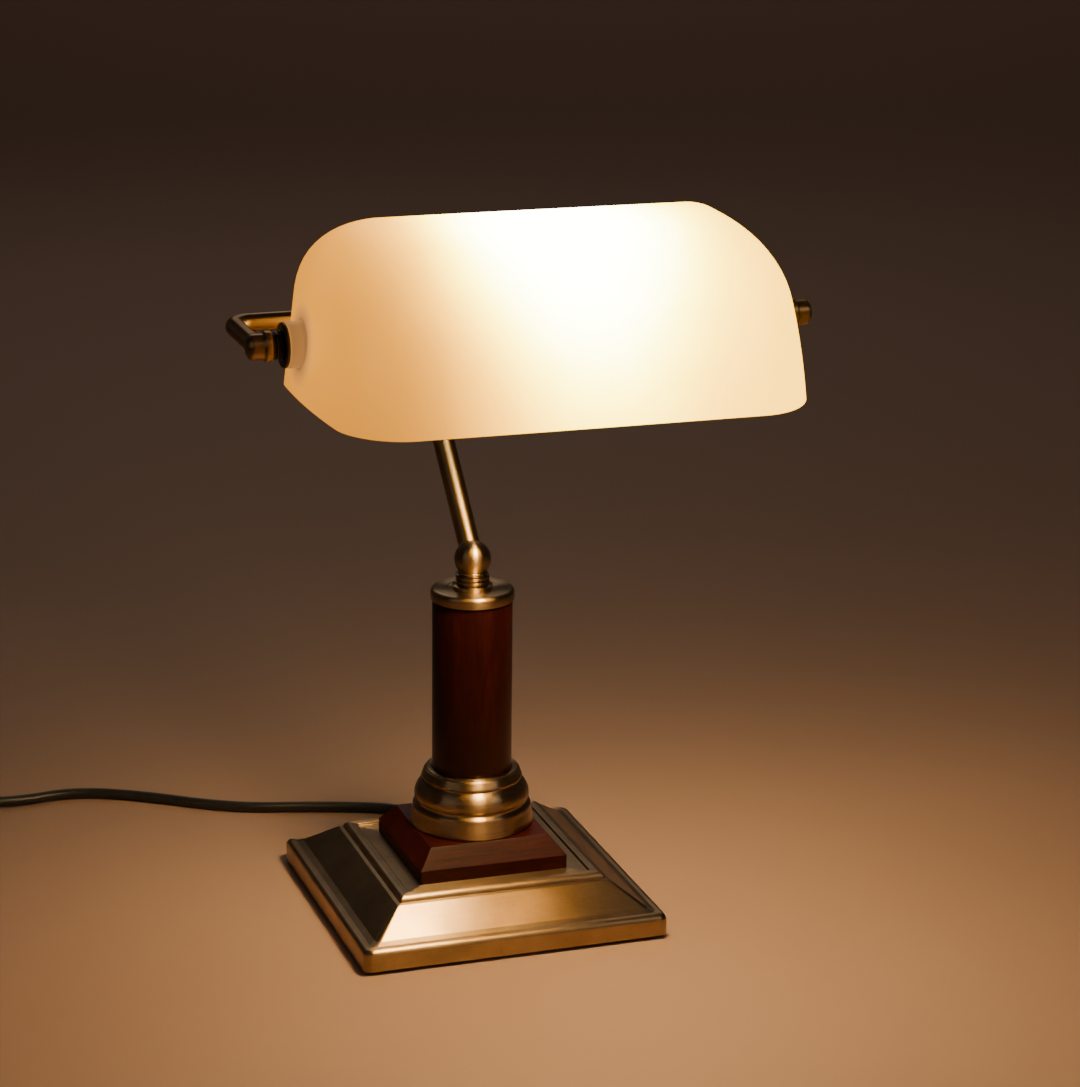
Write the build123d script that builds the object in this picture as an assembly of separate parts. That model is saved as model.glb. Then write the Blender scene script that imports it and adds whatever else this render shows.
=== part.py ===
"""Bankers lamp: a stepped brass foot, a wooden column, a bent arm with a yoke, and a tilting glass shade.

Millimetres. The origin is the centre of the foot on the table, +Z up, +X along the shade, and the shade
hangs over the front of the foot, on the -Y side. The light is put together as on the bench: foot, column,
swivelling arm, yoke, glass, lampholder, and the mains cord with its switch, coil and plug.
"""
import math
import os

from build123d import *

os.makedirs("parts", exist_ok=True)

# Running and seating clearances
slide_gap = 0.05      # radial, pins and spigots that turn
seat_gap = 0.3        # sheet metal and wood that drop into each other
face_gap = 0.15       # flat faces that turn on each other

# Foot
foot_side = 160.0
pad_side = 148.0
pad_height = 2.0
sheet = 1.2           # wall of the stamped foot
rim_height = 11.0     # rim with its rounded top, above the pad
rim_round = 3.0
slope_inset = 7.9     # where the sloped face begins, from the foot's edge
slope_run = 15.7
slope_rise = 11.2
cove_rise = 1.3
bead_ledge = 1.9      # flat ledge above the sloped face
bead_round = 3.0
top_ledge = 3.2       # flat of the raised square before the recess
recess_depth = 1.4
plate_height = 2.0
ballast_side = 120.0
ballast_height = 12.0
ballast_core = 26.0   # radius of the raised centre of the casting
screw_radius = 2.0
screw_head = 3.6
screw_length = 11.0
screw_place = 48.0    # each screw's distance from the middle, along X and along Y

# Column
plinth_side = 78.2
plinth_top_side = 63.0
plinth_straight = 7.0
plinth_height = 16.5
collar_radius = 31.8
collar_height = 30.2
collar_wall = 1.6
column_radius = 20.5
column_height = 120.7
cap_radius = 21.4
cap_height = 5.8
rod_radius = 5.0
rod_bore = 3.5
rod_hole = 5.4        # bore of wood and sheet metal round the rod
nut_across = 17.0
nut_height = 5.0
washer_radius = 11.0
washer_height = 1.2

# Neck and arm
neck_radius = 8.65
neck_flange = 10.3
neck_height = 7.5
ball_radius = 9.5
ball_rise = 7.5       # the ball's centre above the neck
spigot_radius = 4.0
spigot_bore = 2.6
spigot_length = 4.4
arm_radius = 5.6
arm_wall = 1.0
arm_lean = 44.0       # degrees above the table, leaning back
arm_bend = 46.0

# Yoke, pivots and glass
pivot_y = -96.0
pivot_z = 325.0
yoke_radius = 4.5
yoke_wall = 0.9
yoke_reach = 50.5     # from the pivots back to the cross bar
yoke_bend = 9.0
hub_radius = 9.5
socket_radius = 7.3
socket_back = 6.2
socket_end = 5.2      # from the leg's axis out to the socket's domed end
socket_rim = 3.2
socket_cover = 0.8    # how far the leg's axis lies inside the socket's radius
pivot_radius = 5.0
bushing_radius = 6.5
bushing_length = 4.8
flange_radius = 10.6
flange_height = 2.1
pivot_nut = 14.0
pivot_nut_height = 4.0
pivot_washer = 1.2

glass_half = 115.5    # half the shade's length at its mouth
glass_depth = 110.0
glass_height = 81.0   # also the radius of the quarter-round front
glass_wall = 3.5
glass_back = 25.0     # from the pivots to the rear wall
mouth_drop = 25.0     # from the pivots down to the mouth
glass_nod = 1.5       # degrees that the front hangs down at rest
end_draft = 6.5       # degrees that the ends lean inwards
end_round = 40.0      # rounding of the ends into the top
back_round = 24.0     # rounding of the rear wall into the top
front_corner = 28.0   # corner radii in plan at the mouth, and how much they grow towards the top
rear_corner = 14.0
corner_growth = 12.0
boss_radius = 10.7
boss_out = 4.5        # how far the boss's outer face stands beyond the end of the mouth
boss_pad = 0.4        # how far the boss stands out of the wall inside

# Lampholder and bulb
bulb_y = -118.0
bulb_z = 331.0
bulb_radius = 30.0
bulb_middle = 22.0    # centre of the globe, along X
bulb_wall = 1.0
bulb_neck = 13.5
screw_shell = 13.2
screw_shell_length = 25.0
contact_length = 2.0
holder_radius = 19.5
holder_mouth = -21.0
holder_length = 29.0
holder_wall = 1.2
holder_cap = 18.0
holder_ring = 22.5
holder_ring_width = 10.0
stem_radius = 4.0
stem_bore = 3.0
stem_bend = 12.0
stem_drop = 42.0      # from the pivots down to the stem's lowest run
stem_side = -84.0     # where the stem rises again

# Mains cord
cord_radius = 3.0
cord_exit_z = 6.2
relief_outside = 17.0
relief_inside = 4.0
relief_root = 3.8
relief_tip = 3.4
relief_flange = 0.4

# Inline switch
switch_x = -281.0
switch_y = 199.5
switch_length = 62.0
switch_width = 26.0
switch_height = 18.0
switch_wall = 2.0
switch_axis_z = 5.5   # height of the cord in the switch
switch_split = 9.0
rocker_length = 20.0
rocker_width = 11.0
rocker_gap = 0.6
rocker_angle = 8.0
rocker_pivot_z = 12.0
trunnion_radius = 1.5

# Coil and plug
turn_pitch = 6.6
turn_outer = 46.0
turn_steps = 5        # half turns in the lower layer
coil_y = 132.0
tail_flat = 40.0      # the tail stays at the height of the upper layer
tail_bend = 120.0
plug_width = 35.5
plug_thick = 14.0
plug_length = 33.0
plug_neck = 21.0
pin_radius = 2.0
pin_length = 19.0
pin_spacing = 18.6

# Heights and places that follow
half = foot_side / 2
rim_top = pad_height + rim_height
slope_start = rim_top + cove_rise
slope_end = slope_start + slope_rise
ledge_top = slope_end + 0.4 + bead_round
seat_z = ledge_top - recess_depth
plate_top = pad_height + plate_height
plinth_top = seat_z + plinth_height
collar_top = plinth_top + collar_height
column_top = plinth_top + column_height
cap_top = column_top + cap_height
neck_top = cap_top + neck_height
ball_z = neck_top + ball_rise
bar_y = pivot_y + yoke_reach
mouth_z = pivot_z - mouth_drop
rear_y = pivot_y + glass_back
crown_y = rear_y - (glass_depth - glass_height)
draft_slope = math.tan(math.radians(end_draft))
boss_reach = glass_half + boss_out
flange_face = boss_reach + flange_height
socket_face = flange_face + bushing_length
yoke_half = socket_face + socket_radius - socket_cover
boss_inside = glass_half - (mouth_drop + boss_radius) * draft_slope - glass_wall - boss_pad
stem_z = pivot_z - stem_drop
switch_in = switch_x + switch_length / 2
switch_out = switch_x - switch_length / 2

# The cord's route from the strain relief to the switch, chosen by hand
lead_route = [
    (0.0, half + relief_outside, cord_exit_z),
    (0.0, half + relief_outside + 13.5, cord_exit_z),
    (-5.4, 122.8, 4.2),
    (-15.5, 132.0, 3.0),
    (-44.0, 142.5, 3.0),
    (-92.0, 155.0, 3.0),
    (-139.0, 190.5, 3.0),
    (-172.0, 205.0, 3.0),
    (-205.0, switch_y - 0.5, 3.2),
    (-228.0, switch_y, switch_axis_z),
    (switch_in, switch_y, switch_axis_z),
]
# From the switch round to the coil
tail_route = [
    (switch_out, switch_y, switch_axis_z),
    (switch_out - 18.0, switch_y, switch_axis_z),
    (-346.8, 189.2, 3.9),
    (-356.3, 172.2, cord_radius),
    (-356.3, coil_y, cord_radius),
]
coil_start = tail_route[-1]


def arc_about(start, end, centre):
    """A circular arc in 2D, shorter way round, from its ends and its centre."""
    start, end, centre = Vector(*start), Vector(*end), Vector(*centre)
    out = ((start - centre) + (end - centre)).normalized()
    return ThreePointArc(start, centre + out * (start - centre).length, end)


def post(radius, height, z):
    """A round post about Z, standing on z."""
    return Pos(0, 0, z) * Cylinder(radius, height, align=(Align.CENTER, Align.CENTER, Align.MIN))


def ring(outer, inner, height, z):
    """A flat ring or tube about Z, standing on z."""
    return post(outer, height, z) - post(inner, height, z)


def block(size_x, size_y, height, z):
    """A rectangular block about Z, standing on z."""
    return Pos(0, 0, z) * Box(size_x, size_y, height, align=(Align.CENTER, Align.CENTER, Align.MIN))


def rod_x(radius, x_from, x_to, y, z):
    """A cylinder along X between two stations."""
    low, length = min(x_from, x_to), abs(x_to - x_from)
    return Plane(origin=(low, y, z), z_dir=(1, 0, 0)) * Cylinder(
        radius, length, align=(Align.CENTER, Align.CENTER, Align.MIN))


def turned_x(points, y, z):
    """A piece turned about an axis along X, from (station, radius) pairs."""
    outline = make_face(Polyline(*[(x, 0, r) for x, r in points], close=True))
    return Pos(0, y, z) * revolve(outline, Axis.X)


def turned_z(lines):
    """A piece turned about Z, from lines drawn in the XZ plane."""
    return revolve(Plane.XZ * make_face(lines), Axis.Z)


def tube(path, radius):
    """A round bar swept along a path of runs and tangent arcs."""
    start = Plane(origin=path @ 0, z_dir=path % 0)
    return sweep(start * Circle(radius), path=path)


def cord_path(points, name):
    """Straight runs joined by the largest tangent arcs that the runs allow."""
    spots = [Vector(*p) for p in points]
    radii = []
    for before, here, after in zip(spots, spots[1:], spots[2:]):
        turn = (here - before).get_angle(after - here)
        shorter = min((here - before).length, (after - here).length)
        radii.append(0.45 * shorter / math.tan(math.radians(turn / 2)))
    print(name, "arc radii", [round(r) for r in radii])
    return FilletPolyline(*spots, radius=radii)


def cord_tube(path, name):
    """The cord along a path, with its volume compared with its section times its length."""
    body = tube(path, cord_radius)
    straight = math.pi * cord_radius ** 2 * path.length
    print(f"{name} length {path.length:.1f} volume over section times length {body.volume / straight:.4f}")
    return body


def foot_outline(thinner):
    """Half section of the stamped foot, mirrored, and moved in and down by a wall."""
    side, low = half - thinner, 0.0 if thinner else pad_height
    step = half - slope_inset - slope_run - thinner
    points = [
        (side, low),
        (side, rim_top - rim_round - thinner),
        (side - rim_round, rim_top - thinner),
        (side - slope_inset * 0.6, rim_top - thinner),
        (half - slope_inset - thinner, slope_start - thinner),
        (step, slope_end - thinner),
        (step - bead_ledge, slope_end + 0.4 - thinner),
        (step - bead_ledge - bead_round, ledge_top - thinner),
    ]
    rim_centre = (side - rim_round, rim_top - rim_round - thinner)
    bead_centre = (step - bead_ledge - bead_round, slope_end + 0.4 - thinner)
    right = [
        Line(points[0], points[1]),
        arc_about(points[1], points[2], rim_centre),
        Polyline(*points[2:7]),
        arc_about(points[6], points[7], bead_centre),
    ]
    left = [mirror(edge, about=Plane.YZ) for edge in right]
    across = [
        Line(points[7], (-points[7][0], points[7][1])),
        Line(points[0], (-points[0][0], points[0][1])),
    ]
    return make_face(Curve() + right + left + across)


def square_moulding(outline):
    """The outline run round a square with mitred corners: two crossed extrusions, intersected."""
    along_y = extrude(Plane.XZ * outline, amount=foot_side, both=True)
    along_x = extrude(Plane.YZ * outline, amount=foot_side, both=True)
    return along_y & along_x


def recess_half(grow=0.0):
    """Half the side of the square recess that the plinth stands in."""
    return half - slope_inset - slope_run - bead_ledge - bead_round - top_ledge + grow


def base_shell():
    """Stamped foot: rounded rim, cove, sloped face, bead and recess, open below."""
    recess = block(2 * recess_half(), 2 * recess_half(), sheet + recess_depth, seat_z)
    keep = block(2 * recess_half(sheet), 2 * recess_half(sheet), sheet + recess_depth, seat_z - sheet)
    cavity = square_moulding(foot_outline(sheet)) - keep
    body = square_moulding(foot_outline(0.0)) - recess - cavity
    body -= post(rod_hole, 3 * sheet, seat_z - 2 * sheet)
    exit_hole = Plane(origin=(0, half - 2 * sheet, cord_exit_z), z_dir=(0, 1, 0)) * Cylinder(
        relief_root + slide_gap, 4 * sheet)
    return body - exit_hole


def base_pad():
    """Felt pad under the plate."""
    return fillet(block(pad_side, pad_side, pad_height, 0).edges().filter_by(Axis.Z), 4.0)


def screw_spots():
    """Where the four screws of the plate stand."""
    return [(sx * screw_place, sy * screw_place) for sx in (-1, 1) for sy in (-1, 1)]


def bottom_plate():
    """Steel plate inside the rim, with countersunk holes."""
    side = foot_side - 2 * (sheet + seat_gap)
    body = block(side, side, plate_height, pad_height)
    sink = Cone(screw_head + slide_gap, screw_radius + slide_gap, plate_height,
                align=(Align.CENTER, Align.CENTER, Align.MIN))
    for x, y in screw_spots():
        body -= Pos(x, y, pad_height) * sink
    notch = 2 * (relief_root + relief_flange + seat_gap)
    body -= Pos(0, half, pad_height) * Box(
        notch, 2 * (2 * sheet + relief_inside), 3 * plate_height)
    return body


def ballast():
    """Cast block on the plate, with a raised centre, a nut pocket and a channel for the cord."""
    low = Rectangle(ballast_side, ballast_side)
    top = Rectangle(ballast_side - 8, ballast_side - 8)
    body = loft([Pos(0, 0, plate_top) * low, Pos(0, 0, plate_top + ballast_height) * top])
    core_height = seat_z - sheet - plate_top
    body += post(ballast_core, core_height, plate_top)
    pocket = nut_height + washer_height + 1.0
    body -= post(washer_radius + seat_gap, pocket, plate_top)
    body -= post(rod_radius + seat_gap, core_height + 1, plate_top)
    body -= Pos(0, ballast_side / 4 + 2, plate_top) * Box(
        2.6 * cord_radius, ballast_side / 2 + 4, 2.6 * cord_radius,
        align=(Align.CENTER, Align.CENTER, Align.MIN))
    for x, y in screw_spots():
        body -= Pos(x, y, plate_top) * Cylinder(screw_radius + slide_gap, screw_length,
                                                align=(Align.CENTER, Align.CENTER, Align.MIN))
    return body


def base_screws():
    """Four countersunk screws through the plate into the casting."""
    head = Cone(screw_head, screw_radius, plate_height, align=(Align.CENTER, Align.CENTER, Align.MIN))
    shank = post(screw_radius, screw_length - plate_height, plate_height)
    screw = head + shank - block(0.8, 2 * screw_head, 0.8, 0)
    return Compound([Pos(x, y, pad_height) * screw for x, y in screw_spots()])


def rod_washer_z():
    """Underside of the washer at the foot of the rod."""
    return plate_top + nut_height + 1.0


def tie_rod():
    """Hollow threaded rod from the nut in the casting to the neck."""
    low = rod_washer_z() - nut_height - 0.5
    return ring(rod_radius, rod_bore, cap_top + neck_height * 0.35 - low, low)


def rod_nut():
    """Hexagon nut under the washer."""
    low = rod_washer_z() - nut_height
    body = Pos(0, 0, low) * extrude(RegularPolygon(nut_across / 2, 6, major_radius=False), nut_height)
    return body - post(rod_radius, nut_height, low)


def rod_washer():
    """Plain washer between the nut and the casting."""
    return ring(washer_radius, rod_radius + slide_gap, washer_height, rod_washer_z())


def wood_plinth():
    """Square wooden block with straight sides and broad chamfers."""
    body = block(plinth_side, plinth_side, plinth_straight, seat_z)
    body += loft([
        Pos(0, 0, seat_z + plinth_straight) * Rectangle(plinth_side, plinth_side),
        Pos(0, 0, plinth_top) * Rectangle(plinth_top_side, plinth_top_side),
    ])
    return body - post(rod_hole, plinth_height, seat_z)


def collar():
    """Spun collar: flared drum with a ridge, groove, quarter round, flared ring and lip, hollow inside."""
    r, z, lip = collar_radius, plinth_top, column_radius + 3.0
    rise = collar_height / 30.2
    hollow = r - 1.0 - collar_wall
    outline = [
        Line((r - 0.6, z), (r, z + 0.8 * rise)),
        Spline((r, z + 0.8 * rise), (r - 1.0, z + 8.4 * rise), tangents=((-0.02, 1.0), (-0.25, 1.0))),
        Spline((r - 1.0, z + 8.4 * rise), (r - 2.4, z + 11.4 * rise), tangents=((0.1, 1.0), (-1.0, 0.35))),
        Polyline((r - 2.4, z + 11.4 * rise), (r - 3.0, z + 12.1 * rise), (r - 3.0, z + 13.2 * rise),
                 (r - 2.5, z + 13.8 * rise)),
        Spline((r - 2.5, z + 13.8 * rise), (lip + 2.1, z + 23.5 * rise), tangents=((0.4, 1.0), (-1.0, 0.7))),
        Polyline((lip + 2.1, z + 23.5 * rise), (lip + 1.7, z + 24.1 * rise), (lip + 2.3, z + 24.7 * rise),
                 (lip + 2.5, z + 25.4 * rise), (lip + 1.0, z + 29.2 * rise), (lip, z + 29.6 * rise),
                 (lip, z + collar_height), (column_radius + seat_gap, z + collar_height),
                 (column_radius + seat_gap, z + 25.5 * rise),
                 (lip + 0.2, z + 22.0 * rise), (r - 3.1 - collar_wall, z + 14.0 * rise),
                 (r - 3.1 - collar_wall, z + 10.5 * rise), (hollow, z + 8.0 * rise), (hollow, z),
                 (r - 0.6, z)),
    ]
    return turned_z(Curve() + outline)


def wood_column():
    """Turned wooden column, bored for the rod."""
    return ring(column_radius, rod_hole, column_height, plinth_top)


def column_cap():
    """Brass disc on the column with a rounded upper edge."""
    body = ring(cap_radius, rod_radius + slide_gap, cap_height, column_top)
    edge = body.edges().filter_by(GeomType.CIRCLE).group_by(Axis.Z)[-1].sort_by(SortBy.RADIUS)[-1]
    return fillet(edge, 2.2)


def swivel_neck():
    """Ringed neck, screwed on the rod, with a bore for the ball's spigot."""
    z, rise = cap_top, neck_height / 7.5
    waist = neck_radius - 1.2
    bore = spigot_radius + slide_gap
    rod_end = z + neck_height * 0.35
    points = [
        (rod_radius, z), (neck_flange, z), (neck_flange, z + 1.6 * rise),
        (neck_radius, z + 2.0 * rise), (neck_radius, z + 3.3 * rise),
        (waist, z + 3.7 * rise), (waist, z + 4.0 * rise), (neck_radius, z + 4.4 * rise),
        (neck_radius, z + 5.3 * rise), (waist, z + 5.7 * rise), (waist, z + 6.0 * rise),
        (neck_radius, z + 6.4 * rise), (neck_radius, neck_top),
        (bore, neck_top), (bore, rod_end + 0.1), (rod_radius, rod_end),
    ]
    return turned_z(Polyline(*points, close=True))


def arm_direction():
    """Unit vector of the arm's straight part, leaning back."""
    lean = math.radians(arm_lean)
    return Vector(0, math.cos(lean), math.sin(lean))


def neck_ball():
    """Ball on a hollow spigot that turns in the neck, bored for the arm."""
    flat = neck_top + face_gap
    body = Pos(0, 0, ball_z) * Sphere(ball_radius)
    body -= block(4 * ball_radius, 4 * ball_radius, 2 * ball_radius, flat - 2 * ball_radius)
    body += post(spigot_radius, spigot_length + 3, flat - spigot_length)
    body += post(neck_radius - 1.0, 1.6, flat)
    body -= post(spigot_bore, ball_z - flat + spigot_length, flat - spigot_length)
    seat = Plane(origin=Vector(0, 0, ball_z) + arm_direction() * 3.0, z_dir=arm_direction())
    return body - seat * Cylinder(arm_radius, 2 * ball_radius, align=(Align.CENTER, Align.CENTER, Align.MIN))


def arm_path():
    """Straight back and up, one large bend, then forward to the hub."""
    start = Vector(0, 0, ball_z) + arm_direction() * 3.0
    corner = Vector(0, (pivot_z - ball_z) / math.tan(math.radians(arm_lean)), pivot_z)
    end = Vector(0, bar_y + hub_radius * 0.6, pivot_z)
    return FilletPolyline(start, corner, end, radius=arm_bend)


def arm_tube():
    """Bent brass tube, hollow for the flex."""
    path = arm_path()
    return tube(path, arm_radius) - tube(path, arm_radius - arm_wall)


def yoke_path():
    """Leg, bend, cross bar, bend and leg."""
    inner = pivot_y + 0.6 * socket_back
    return FilletPolyline(
        (-yoke_half, inner, pivot_z), (-yoke_half, bar_y, pivot_z),
        (yoke_half, bar_y, pivot_z), (yoke_half, inner, pivot_z), radius=yoke_bend)


def yoke_tube():
    """U of brass tube behind the glass."""
    path = yoke_path()
    body = tube(path, yoke_radius) - tube(path, yoke_radius - yoke_wall)
    stem_hole = Pos(0, bar_y, pivot_z - yoke_radius) * Cylinder(stem_bore, 2 * yoke_wall + 2)
    arm_hole = Plane(origin=(0, bar_y + yoke_radius, pivot_z), z_dir=(0, 1, 0)) * Cylinder(
        stem_bore, 2 * yoke_wall + 2)
    return body - stem_hole - arm_hole


def yoke_hub():
    """Ball where arm, cross bar and lampholder stem meet."""
    body = Pos(0, bar_y, pivot_z) * Sphere(hub_radius)
    body -= rod_x(yoke_radius, -2 * hub_radius, 2 * hub_radius, bar_y, pivot_z)
    seat = Plane(origin=(0, bar_y + hub_radius * 0.6, pivot_z), z_dir=(0, 1, 0))
    body -= seat * Cylinder(arm_radius, hub_radius, align=(Align.CENTER, Align.CENTER, Align.MIN))
    body -= Plane(origin=(0, bar_y, pivot_z), z_dir=(0, 1, 0)) * Cylinder(
        stem_bore, hub_radius, align=(Align.CENTER, Align.CENTER, Align.MIN))
    return body - Pos(0, bar_y, pivot_z) * Cylinder(
        stem_radius, 2 * hub_radius, align=(Align.CENTER, Align.CENTER, Align.MAX))


def yoke_socket(side):
    """Turned socket that joins a leg's end to its pivot stud."""
    rim, back = socket_face, yoke_half + socket_end
    points = [
        (rim, 0), (rim, socket_radius - 0.6), (rim + 0.6, socket_radius),
        (rim + socket_rim, socket_radius), (rim + socket_rim + 0.8, socket_back),
        (back - 3.4, socket_back), (back - 1.8, socket_back - 0.6), (back - 0.6, socket_back - 2.0),
        (back, socket_back - 4.2), (back, 0),
    ]
    body = turned_x(points, pivot_y, pivot_z)
    leg = Plane(origin=(yoke_half, pivot_y + 0.6 * socket_back, pivot_z), z_dir=(0, 1, 0))
    body -= leg * Cylinder(yoke_radius, 2 * socket_radius, align=(Align.CENTER, Align.CENTER, Align.MIN))
    body -= rod_x(pivot_radius, rim - 1, yoke_half - yoke_radius - 0.2, pivot_y, pivot_z)
    return body if side > 0 else mirror(body, about=Plane.YZ)


def nut_face():
    """Outer face of the nut inside the glass, from the middle."""
    return boss_inside - pivot_washer - face_gap


def pivot_stud(side):
    """Hollow stud from the socket through bushing, flange and glass to the inner nut."""
    inner = nut_face() - pivot_nut_height - 0.8
    outer = yoke_half - yoke_radius - 0.2
    body = rod_x(pivot_radius, inner, outer, pivot_y, pivot_z)
    body -= rod_x(pivot_radius - 1.6, inner, outer, pivot_y, pivot_z)
    return body if side > 0 else mirror(body, about=Plane.YZ)


def grooved_bushing(side):
    """Black bushing with two grooves between socket and flange."""
    low, high = flange_face + face_gap, socket_face
    third = (high - low) / 5
    points = [
        (low, pivot_radius), (low, bushing_radius + 0.6), (low + third, bushing_radius + 0.6),
        (low + 1.5 * third, bushing_radius - 0.5), (low + 2 * third, bushing_radius - 0.5),
        (low + 2.5 * third, bushing_radius), (low + 3.2 * third, bushing_radius),
        (low + 3.6 * third, bushing_radius - 0.8), (low + 4 * third, bushing_radius - 0.8),
        (low + 4.4 * third, bushing_radius), (high, bushing_radius), (high, pivot_radius),
    ]
    body = turned_x(points, pivot_y, pivot_z)
    return body if side > 0 else mirror(body, about=Plane.YZ)


def flange_washer(side):
    """Black flange against the outside of the glass."""
    body = rod_x(flange_radius, boss_reach, flange_face, pivot_y, pivot_z)
    body = fillet(body.edges().filter_by(GeomType.CIRCLE), 0.8)
    body -= rod_x(pivot_radius + slide_gap, boss_reach - 1, flange_face + 1, pivot_y, pivot_z)
    return body if side > 0 else mirror(body, about=Plane.YZ)


def inner_washer(side):
    """Fibre washer against the inside of the glass."""
    body = rod_x(boss_radius - 1.2, boss_inside - pivot_washer, boss_inside, pivot_y, pivot_z)
    body -= rod_x(pivot_radius + slide_gap, boss_inside - 3, boss_inside + 1, pivot_y, pivot_z)
    return body if side > 0 else mirror(body, about=Plane.YZ)


def pivot_lock_nut(side):
    """Brass nut on the stud inside the glass."""
    face = Plane(origin=(nut_face() - pivot_nut_height, pivot_y, pivot_z), z_dir=(1, 0, 0))
    body = face * extrude(RegularPolygon(pivot_nut / 2, 6, major_radius=False), pivot_nut_height)
    body -= rod_x(pivot_radius, nut_face() - 9, nut_face() + 1, pivot_y, pivot_z)
    return body if side > 0 else mirror(body, about=Plane.YZ)


def shade_section(height, wall):
    """Plan outline of the glass at a height above the mouth, or of its hollow when a wall is given."""
    lean = math.radians(end_draft)
    round_start = glass_height - end_round * (1 - math.sin(lean))
    if height <= round_start:
        end = glass_half - height * draft_slope - wall / math.cos(lean)
    else:
        flat = glass_half - round_start * draft_slope - end_round * math.cos(lean)
        up = height - (glass_height - end_round)
        end = flat + math.sqrt((end_round - wall) ** 2 - up ** 2)
    front = crown_y - math.sqrt((glass_height - wall) ** 2 - height ** 2)
    up = max(height - (glass_height - back_round), 0.0)
    back = rear_y - back_round + math.sqrt((back_round - wall) ** 2 - up ** 2)
    growth = corner_growth * min(max(height / round_start, 0.0), 1.0)
    near, far = front_corner + growth - wall, rear_corner + growth - wall
    shrink = min(1.0, 0.96 * (back - front) / (near + far))
    near, far = near * shrink, far * shrink
    right = [
        Line((0, front), (end - near, front)),
        arc_about((end - near, front), (end, front + near), (end - near, front + near)),
        Line((end, front + near), (end, back - far)),
        arc_about((end, back - far), (end - far, back), (end - far, back - far)),
        Line((end - far, back), (0, back)),
    ]
    left = [mirror(edge, about=Plane.YZ) for edge in right]
    return Pos(0, 0, mouth_z + height) * make_face(Curve() + right + left)


def shade_form(wall):
    """The shade's outer form, or its hollow when a wall is given, from below the mouth to the top."""
    top = glass_height - wall
    angles = (-8, 0, 10, 20, 30, 40, 50, 60, 68, 75, 81, 85.5)
    return loft([shade_section(top * math.sin(math.radians(angle)), wall) for angle in angles])


def glass_shade():
    """Opal glass: quarter-round front, steep back, round ends, and a boss at each end for the pivots."""
    body = shade_form(0.0) - shade_form(glass_wall)
    below = Pos(0, 0, mouth_z) * Box(4 * glass_half, 6 * glass_depth, glass_height,
                                     align=(Align.CENTER, Align.CENTER, Align.MAX))
    body -= below
    for side in (-1, 1):
        boss = rod_x(boss_radius, side * boss_inside, side * boss_reach, pivot_y, pivot_z)
        body += boss
        body -= rod_x(pivot_radius + slide_gap, side * (boss_inside - 5), side * (boss_reach + 5),
                      pivot_y, pivot_z)
    return body.rotate(Axis((0, pivot_y, pivot_z), (1, 0, 0)), glass_nod)


def stem_path():
    """From the hub down, under the rear edge of the glass, and up to the lampholder."""
    return FilletPolyline(
        (0, bar_y, pivot_z - yoke_radius - 0.6), (0, bar_y, stem_z), (stem_side, bulb_y, stem_z),
        (stem_side, bulb_y, bulb_z), (cap_back() + 5.0, bulb_y, bulb_z), radius=stem_bend)


def cap_back():
    """Rear end of the lampholder's cap, along X."""
    return holder_mouth - holder_length - holder_cap


def holder_stem():
    """Bent tube that carries the lampholder and its flex."""
    path = stem_path()
    return tube(path, stem_radius) - tube(path, stem_bore)


def lampholder_cap():
    """Rear cap of the lampholder, screwed on the stem."""
    back, front = cap_back(), holder_mouth - holder_length
    points = [
        (back, 0), (back, 8.0), (back + 4.0, 8.8), (back + 6.5, holder_radius - 5.0),
        (back + 10.0, holder_radius - 1.5), (back + 12.5, holder_radius - 0.5), (front, holder_radius),
        (front, holder_radius - 2.4), (back + 11.0, holder_radius - 3.6), (back + 8.0, 9.0),
        (back + 8.0, 0),
    ]
    body = turned_x(points, bulb_y, bulb_z)
    return body - rod_x(stem_radius, back - 1, back + 9.0, bulb_y, bulb_z)


def lampholder_body():
    """Skirt of the lampholder, closed at the back by the contact block."""
    back = holder_mouth - holder_length
    body = rod_x(holder_radius - 0.4, back, holder_mouth, bulb_y, bulb_z)
    hollow = back + holder_length - screw_shell_length - contact_length
    body -= rod_x(screw_shell + 0.3, hollow, holder_mouth + 1, bulb_y, bulb_z)
    return body


def lampholder_ring():
    """Ring with grip notches on the skirt."""
    low = holder_mouth - 8.0 - holder_ring_width
    body = rod_x(holder_ring, low, low + holder_ring_width, bulb_y, bulb_z)
    body -= rod_x(holder_radius - 0.4, low - 1, low + holder_ring_width + 1, bulb_y, bulb_z)
    for number in range(12):
        angle = math.radians(30 * number)
        y = bulb_y + (holder_ring + 0.4) * math.cos(angle)
        z = bulb_z + (holder_ring + 0.4) * math.sin(angle)
        body -= rod_x(1.6, low - 1, low + holder_ring_width + 1, y, z)
    return body


def bulb_form(radius, neck, start):
    """Turned bulb: a globe with a tangent neck, from its neck's station."""
    span = Vector(bulb_middle - start, -neck)
    tilt = math.atan2(span.Y, span.X) + math.asin(radius / span.length)
    reach = math.sqrt(span.length ** 2 - radius ** 2)
    touch = (start + reach * math.cos(tilt), neck + reach * math.sin(tilt))
    side = math.radians(45)
    over = (bulb_middle + radius * math.cos(side), radius * math.sin(side))
    tip = (bulb_middle + radius, 0.0)
    lines = Curve() + [
        Polyline((start, 0), (start, neck), touch),
        ThreePointArc(touch, over, tip),
        Line(tip, (start, 0)),
    ]
    outline = Plane.XZ * make_face(lines)
    return Pos(0, bulb_y, bulb_z) * revolve(outline, Axis.X)


def bulb_glass():
    """Hollow glass globe of the bulb."""
    return bulb_form(bulb_radius, bulb_neck, holder_mouth) - bulb_form(
        bulb_radius - bulb_wall, bulb_neck - bulb_wall, holder_mouth)


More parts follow.
